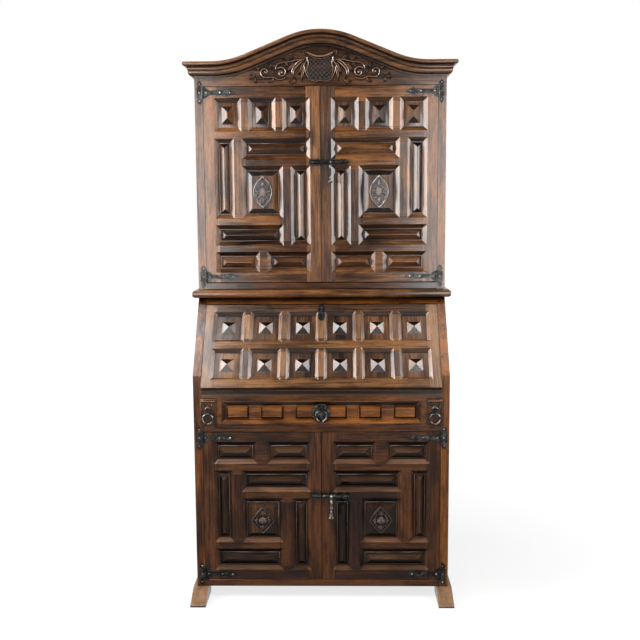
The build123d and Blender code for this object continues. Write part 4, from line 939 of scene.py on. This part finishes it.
# By name: the material's name, the iron's blackened and its rubbed colour, and its roughness.
IRONS = {
    "iron": ("forged_iron", (0.006, 0.006, 0.0055), (0.030, 0.031, 0.028), 0.33),
    "bright_iron": ("rubbed_iron", (0.014, 0.014, 0.013), (0.12, 0.115, 0.105), 0.28),
    "nail": ("nail_head", (0.07, 0.072, 0.068), (0.34, 0.36, 0.34), 0.30),
    "bright_drop": ("bright_drop", (0.06, 0.058, 0.054), (0.42, 0.40, 0.37), 0.30),
}


def build_materials():
    """Every finish by name; that of rounded edges has the wood's name and _edge."""
    materials = {}
    for wood, (colours, *variants) in WALNUTS.items():
        for name, settings in zip((wood, f"{wood}_edge"), variants):
            materials[name] = wood_material(f"walnut_{name}", *colours, **settings)
    materials["inner"] = wood_material("plain_inner_wood", *INNER_WOOD, roughness=0.55, grime=0.6,
                                       gloss=0.3, coat=0.0)
    materials["foot"] = foot_material(WALNUT[0], WALNUT[1], BARE_AND_LIT_WOOD)
    materials.update((name, iron_material(*settings)) for name, settings in IRONS.items())
    return materials


def edge_width_of(name, finish):
    """How wide a wooden node's corners are rounded."""
    if name == "cornice" or name.startswith("gallery_drawer") or finish == "inner":
        return FINE_EDGE
    return {"lid": LID_FRAME_EDGE, "lower_panel": LOWER_PANEL_EDGE}.get(finish, PLAIN_EDGE)


def dress_frame(materials):
    """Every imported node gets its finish; wooden ones get rounded corners and their own grain."""
    grain = grain_group()
    keys = {item.name: item.identifier for item in grain.interface.items_tree}
    for number, (name, piece) in enumerate(sorted(nodes.items())):
        finish = finish_of.get(name, "case")
        piece.data.materials.clear()
        piece.data.materials.append(materials[finish])
        clean_edges(piece)
        if finish in IRONS:
            continue
        piece.data.materials.append(materials.get(f"{finish}_edge", materials[finish]))
        set_all(piece.modifiers.new("rounded_corners", "BEVEL"), width=edge_width_of(name, finish),
                segments=2, limit_method="WEIGHT", use_clamp_overlap=False, harden_normals=True,
                material=1)
        finder = set_all(piece.modifiers.new("board_grain", "NODES"), node_group=grain)
        finder[keys["Tilt"]] = slope if name in LID_NODES else 0.0
        finder[keys["Seed"]] = float(BOARD_SEEDS.get(name, number))


# ======== stage
# Name, centre, target, width, height, radiance. Softboxes light everything, fills give no gloss,
# and reflectors give nothing but gloss.
SOFTBOXES = (
    ("left_softbox", (-2.6, -0.85, 1.85), (0, -0.2, 1.6), 1.9, 1.5, 10.0),
    ("left_high_softbox", (-2.5, -0.45, 3.1), (0, -0.1, 1), 1.0, 1.0, 9.0),
    ("right_softbox", (2.8, -1.0, 1.85), (0, -0.2, 1.5), 1.3, 1.5, 4.0),
    ("right_high_softbox", (2.5, -0.5, 3.1), (0, -0.1, 1), 1.0, 1.0, 7.0),
)
FILLS = (
    ("top_softbox", (0, -1.6, 4.2), (0, 0, 1), 3.0, 1.6, 4.4),
    ("front_fill", (-0.6, -4.4, 2.6), (0, 0, 1.1), 2.6, 2.0, 2.4),
)
REFLECTORS = (
    ("left_reflector", (-2.55, -0.65, 1.85), (0, -0.2, 1.6), 2.1, 1.4, 20.0),
    ("left_high_reflector", (-2.45, -0.45, 3.1), (0, -0.1, 1), 1.0, 1.0, 23.0),
    ("right_high_reflector", (2.45, -0.5, 3.1), (0, -0.1, 1), 1.0, 1.0, 17.0),
    ("right_reflector", (2.65, -0.4, 1.85), (0, -0.2, 1.5), 0.9, 1.5, 21.0),
    ("left_rear_reflector", (-2.6, 0.6, 2.1), (0, 0, 1), 1.0, 1.2, 31.0),
    ("right_rear_reflector", (2.6, 0.55, 2.1), (0, 0, 1), 1.0, 1.2, 27.0),
    ("left_sheen_reflector", (-1.75, -4.6, 1.4), (0, 0, 1.5), 1.6, 2.4, 20.0),
    ("right_sheen_reflector", (1.5, -4.6, 1.4), (0, 0, 1.5), 1.5, 2.4, 19.0),
    ("slope_reflector", (-1.32, -1.3, 3.3), (-0.4, -0.1, 1), 0.8, 0.7, 56.0),
    ("right_slope_reflector", (1.28, -1.3, 3.3), (0.4, -0.1, 1), 0.8, 0.7, 26.0),
    ("lid_reflector", (-0.1, -1.5, 3.35), (0, -0.1, 1), 1.3, 0.45, 0.4),
)
SKY, SKY_STRENGTH = (0.9, 0.95, 1.0, 1.0), 0.25
FLOOR_GREY, WALL_GREY = (0.26, 0.26, 0.26, 1), (0.05, 0.05, 0.05, 1)
FLOOR_HALF, WALL_RADIUS, WALL_END = 30, 8, 2      # the walls end behind the cabinet
WALL_GLOW = 0.06
# Metres from the middle at which the floor is as grey as it gets, and white.
GREY_NEAR, WHITE_FAR, PALEST_GREY = 0.8, 2.8, 0.76


def softbox(name, centre, target, width, height, radiance, glossy=True, diffuse=True):
    """A rectangular lamp that faces the target; its power follows from its size and radiance."""
    lamp = set_all(bpy.data.lights.new(name, "AREA"), shape="RECTANGLE", size=width,
                   size_y=height, energy=radiance * pi * width * height)
    turn = (Vector(target) - Vector(centre)).to_track_quat("-Z", "Y").to_euler()
    set_all(new_object(name, lamp), location=centre, rotation_euler=turn, visible_glossy=glossy,
            visible_diffuse=diffuse)


def build_lights():
    """Softboxes at both sides and above them, matt fills and reflectors that only give gloss."""
    for lamps, seen_by in ((SOFTBOXES, {}), (FILLS, {"glossy": False}),
                           (REFLECTORS, {"diffuse": False})):
        for lamp in lamps:
            softbox(*lamp, **seen_by)


def light_path_white(tree):
    """One where a camera, glossy or transmission ray meets the background, otherwise zero."""
    rays = add_node(tree, "ShaderNodeLightPath").outputs
    return highest(tree, *(rays[f"Is {kind} Ray"] for kind in ("Camera", "Glossy", "Transmission")))


def build_world():
    """A pale sky that camera, glossy and transmission rays see as plain white."""
    world = bpy.data.worlds.new("studio")
    world.use_nodes = True
    bpy.context.scene.world = world
    tree = world.node_tree
    tree.nodes.clear()
    plain = add_node(tree, "ShaderNodeBackground", {"Color": SKY, "Strength": SKY_STRENGTH})
    white = add_node(tree, "ShaderNodeBackground", {"Color": (1, 1, 1, 1), "Strength": 1.0})
    mixed = add_node(tree, "ShaderNodeMixShader", {0: light_path_white(tree), 1: plain.outputs[0],
                                                   2: white.outputs[0]})
    add_node(tree, "ShaderNodeOutputWorld", {"Surface": mixed.outputs[0]})


def stage_object(name, mesh, material):
    """A stage piece from its mesh."""
    piece = object_from(name, mesh, material)
    return piece


def build_floor():
    """A pale floor that shows white and keeps the cabinet's shadow."""
    material, tree, shader = new_material("pale_floor")
    set_inputs(tree, shader, {"Base Color": FLOOR_GREY, "Roughness": 0.9,
                              "Specular IOR Level": 0.0})
    distance = vector_node(tree, "LENGTH", surface(tree, "Position"))
    paleness = levels(tree, distance, GREY_NEAR, WHITE_FAR, PALEST_GREY, 1.0)
    strength = math_node(tree, "MULTIPLY", light_path_white(tree), paleness)
    glow = add_node(tree, "ShaderNodeEmission", {"Strength": strength})
    both = add_node(tree, "ShaderNodeAddShader", {0: shader.outputs[0], 1: glow.outputs[0]})
    tree.links.new(both.outputs[0], tree.nodes["output"].inputs["Surface"])
    mesh = bmesh.new()
    bmesh.ops.create_grid(mesh, x_segments=1, y_segments=1, size=FLOOR_HALF)
    floor = stage_object("floor", mesh, material)
    floor.location.z = cad_box[0].z - 0.2 * mm


def build_walls():
    """Grey studio walls in front of the cabinet and at its sides, which the camera doesn't see."""
    material, tree, shader = new_material("studio_grey")
    set_inputs(tree, shader, {"Base Color": WALL_GREY, "Roughness": 1.0, "Emission Color": SKY,
                              "Emission Strength": WALL_GLOW})
    mesh = bmesh.new()
    bmesh.ops.create_uvsphere(mesh, u_segments=32, v_segments=16, radius=WALL_RADIUS)
    behind = [face for face in mesh.faces if face.calc_center_median().y > WALL_END]
    bmesh.ops.delete(mesh, geom=behind, context="FACES")
    walls = stage_object("studio_walls", mesh, material)
    walls.visible_camera = False


# ======== the whole scene
def main():
    """Build the whole scene."""
    place_camera()
    build_world()
    build_floor()
    build_walls()
    build_lights()
    materials = build_materials()
    build_clean_edges()
    dress_frame(materials)
    carve_frieze(materials["carving"])
    for door in UPPER_DOORS:
        carve_medallion(door, UPPER_MEDALLION, materials["medallion"])
    for door in LOWER_DOORS:
        carve_medallion(door, LOWER_MEDALLION, materials["lower_medallion"])
    drive_nails(materials["nail"])
    carve_lopers(materials["loper_carving"])


bpy.context.scene.view_settings.view_transform = "Standard"
main()
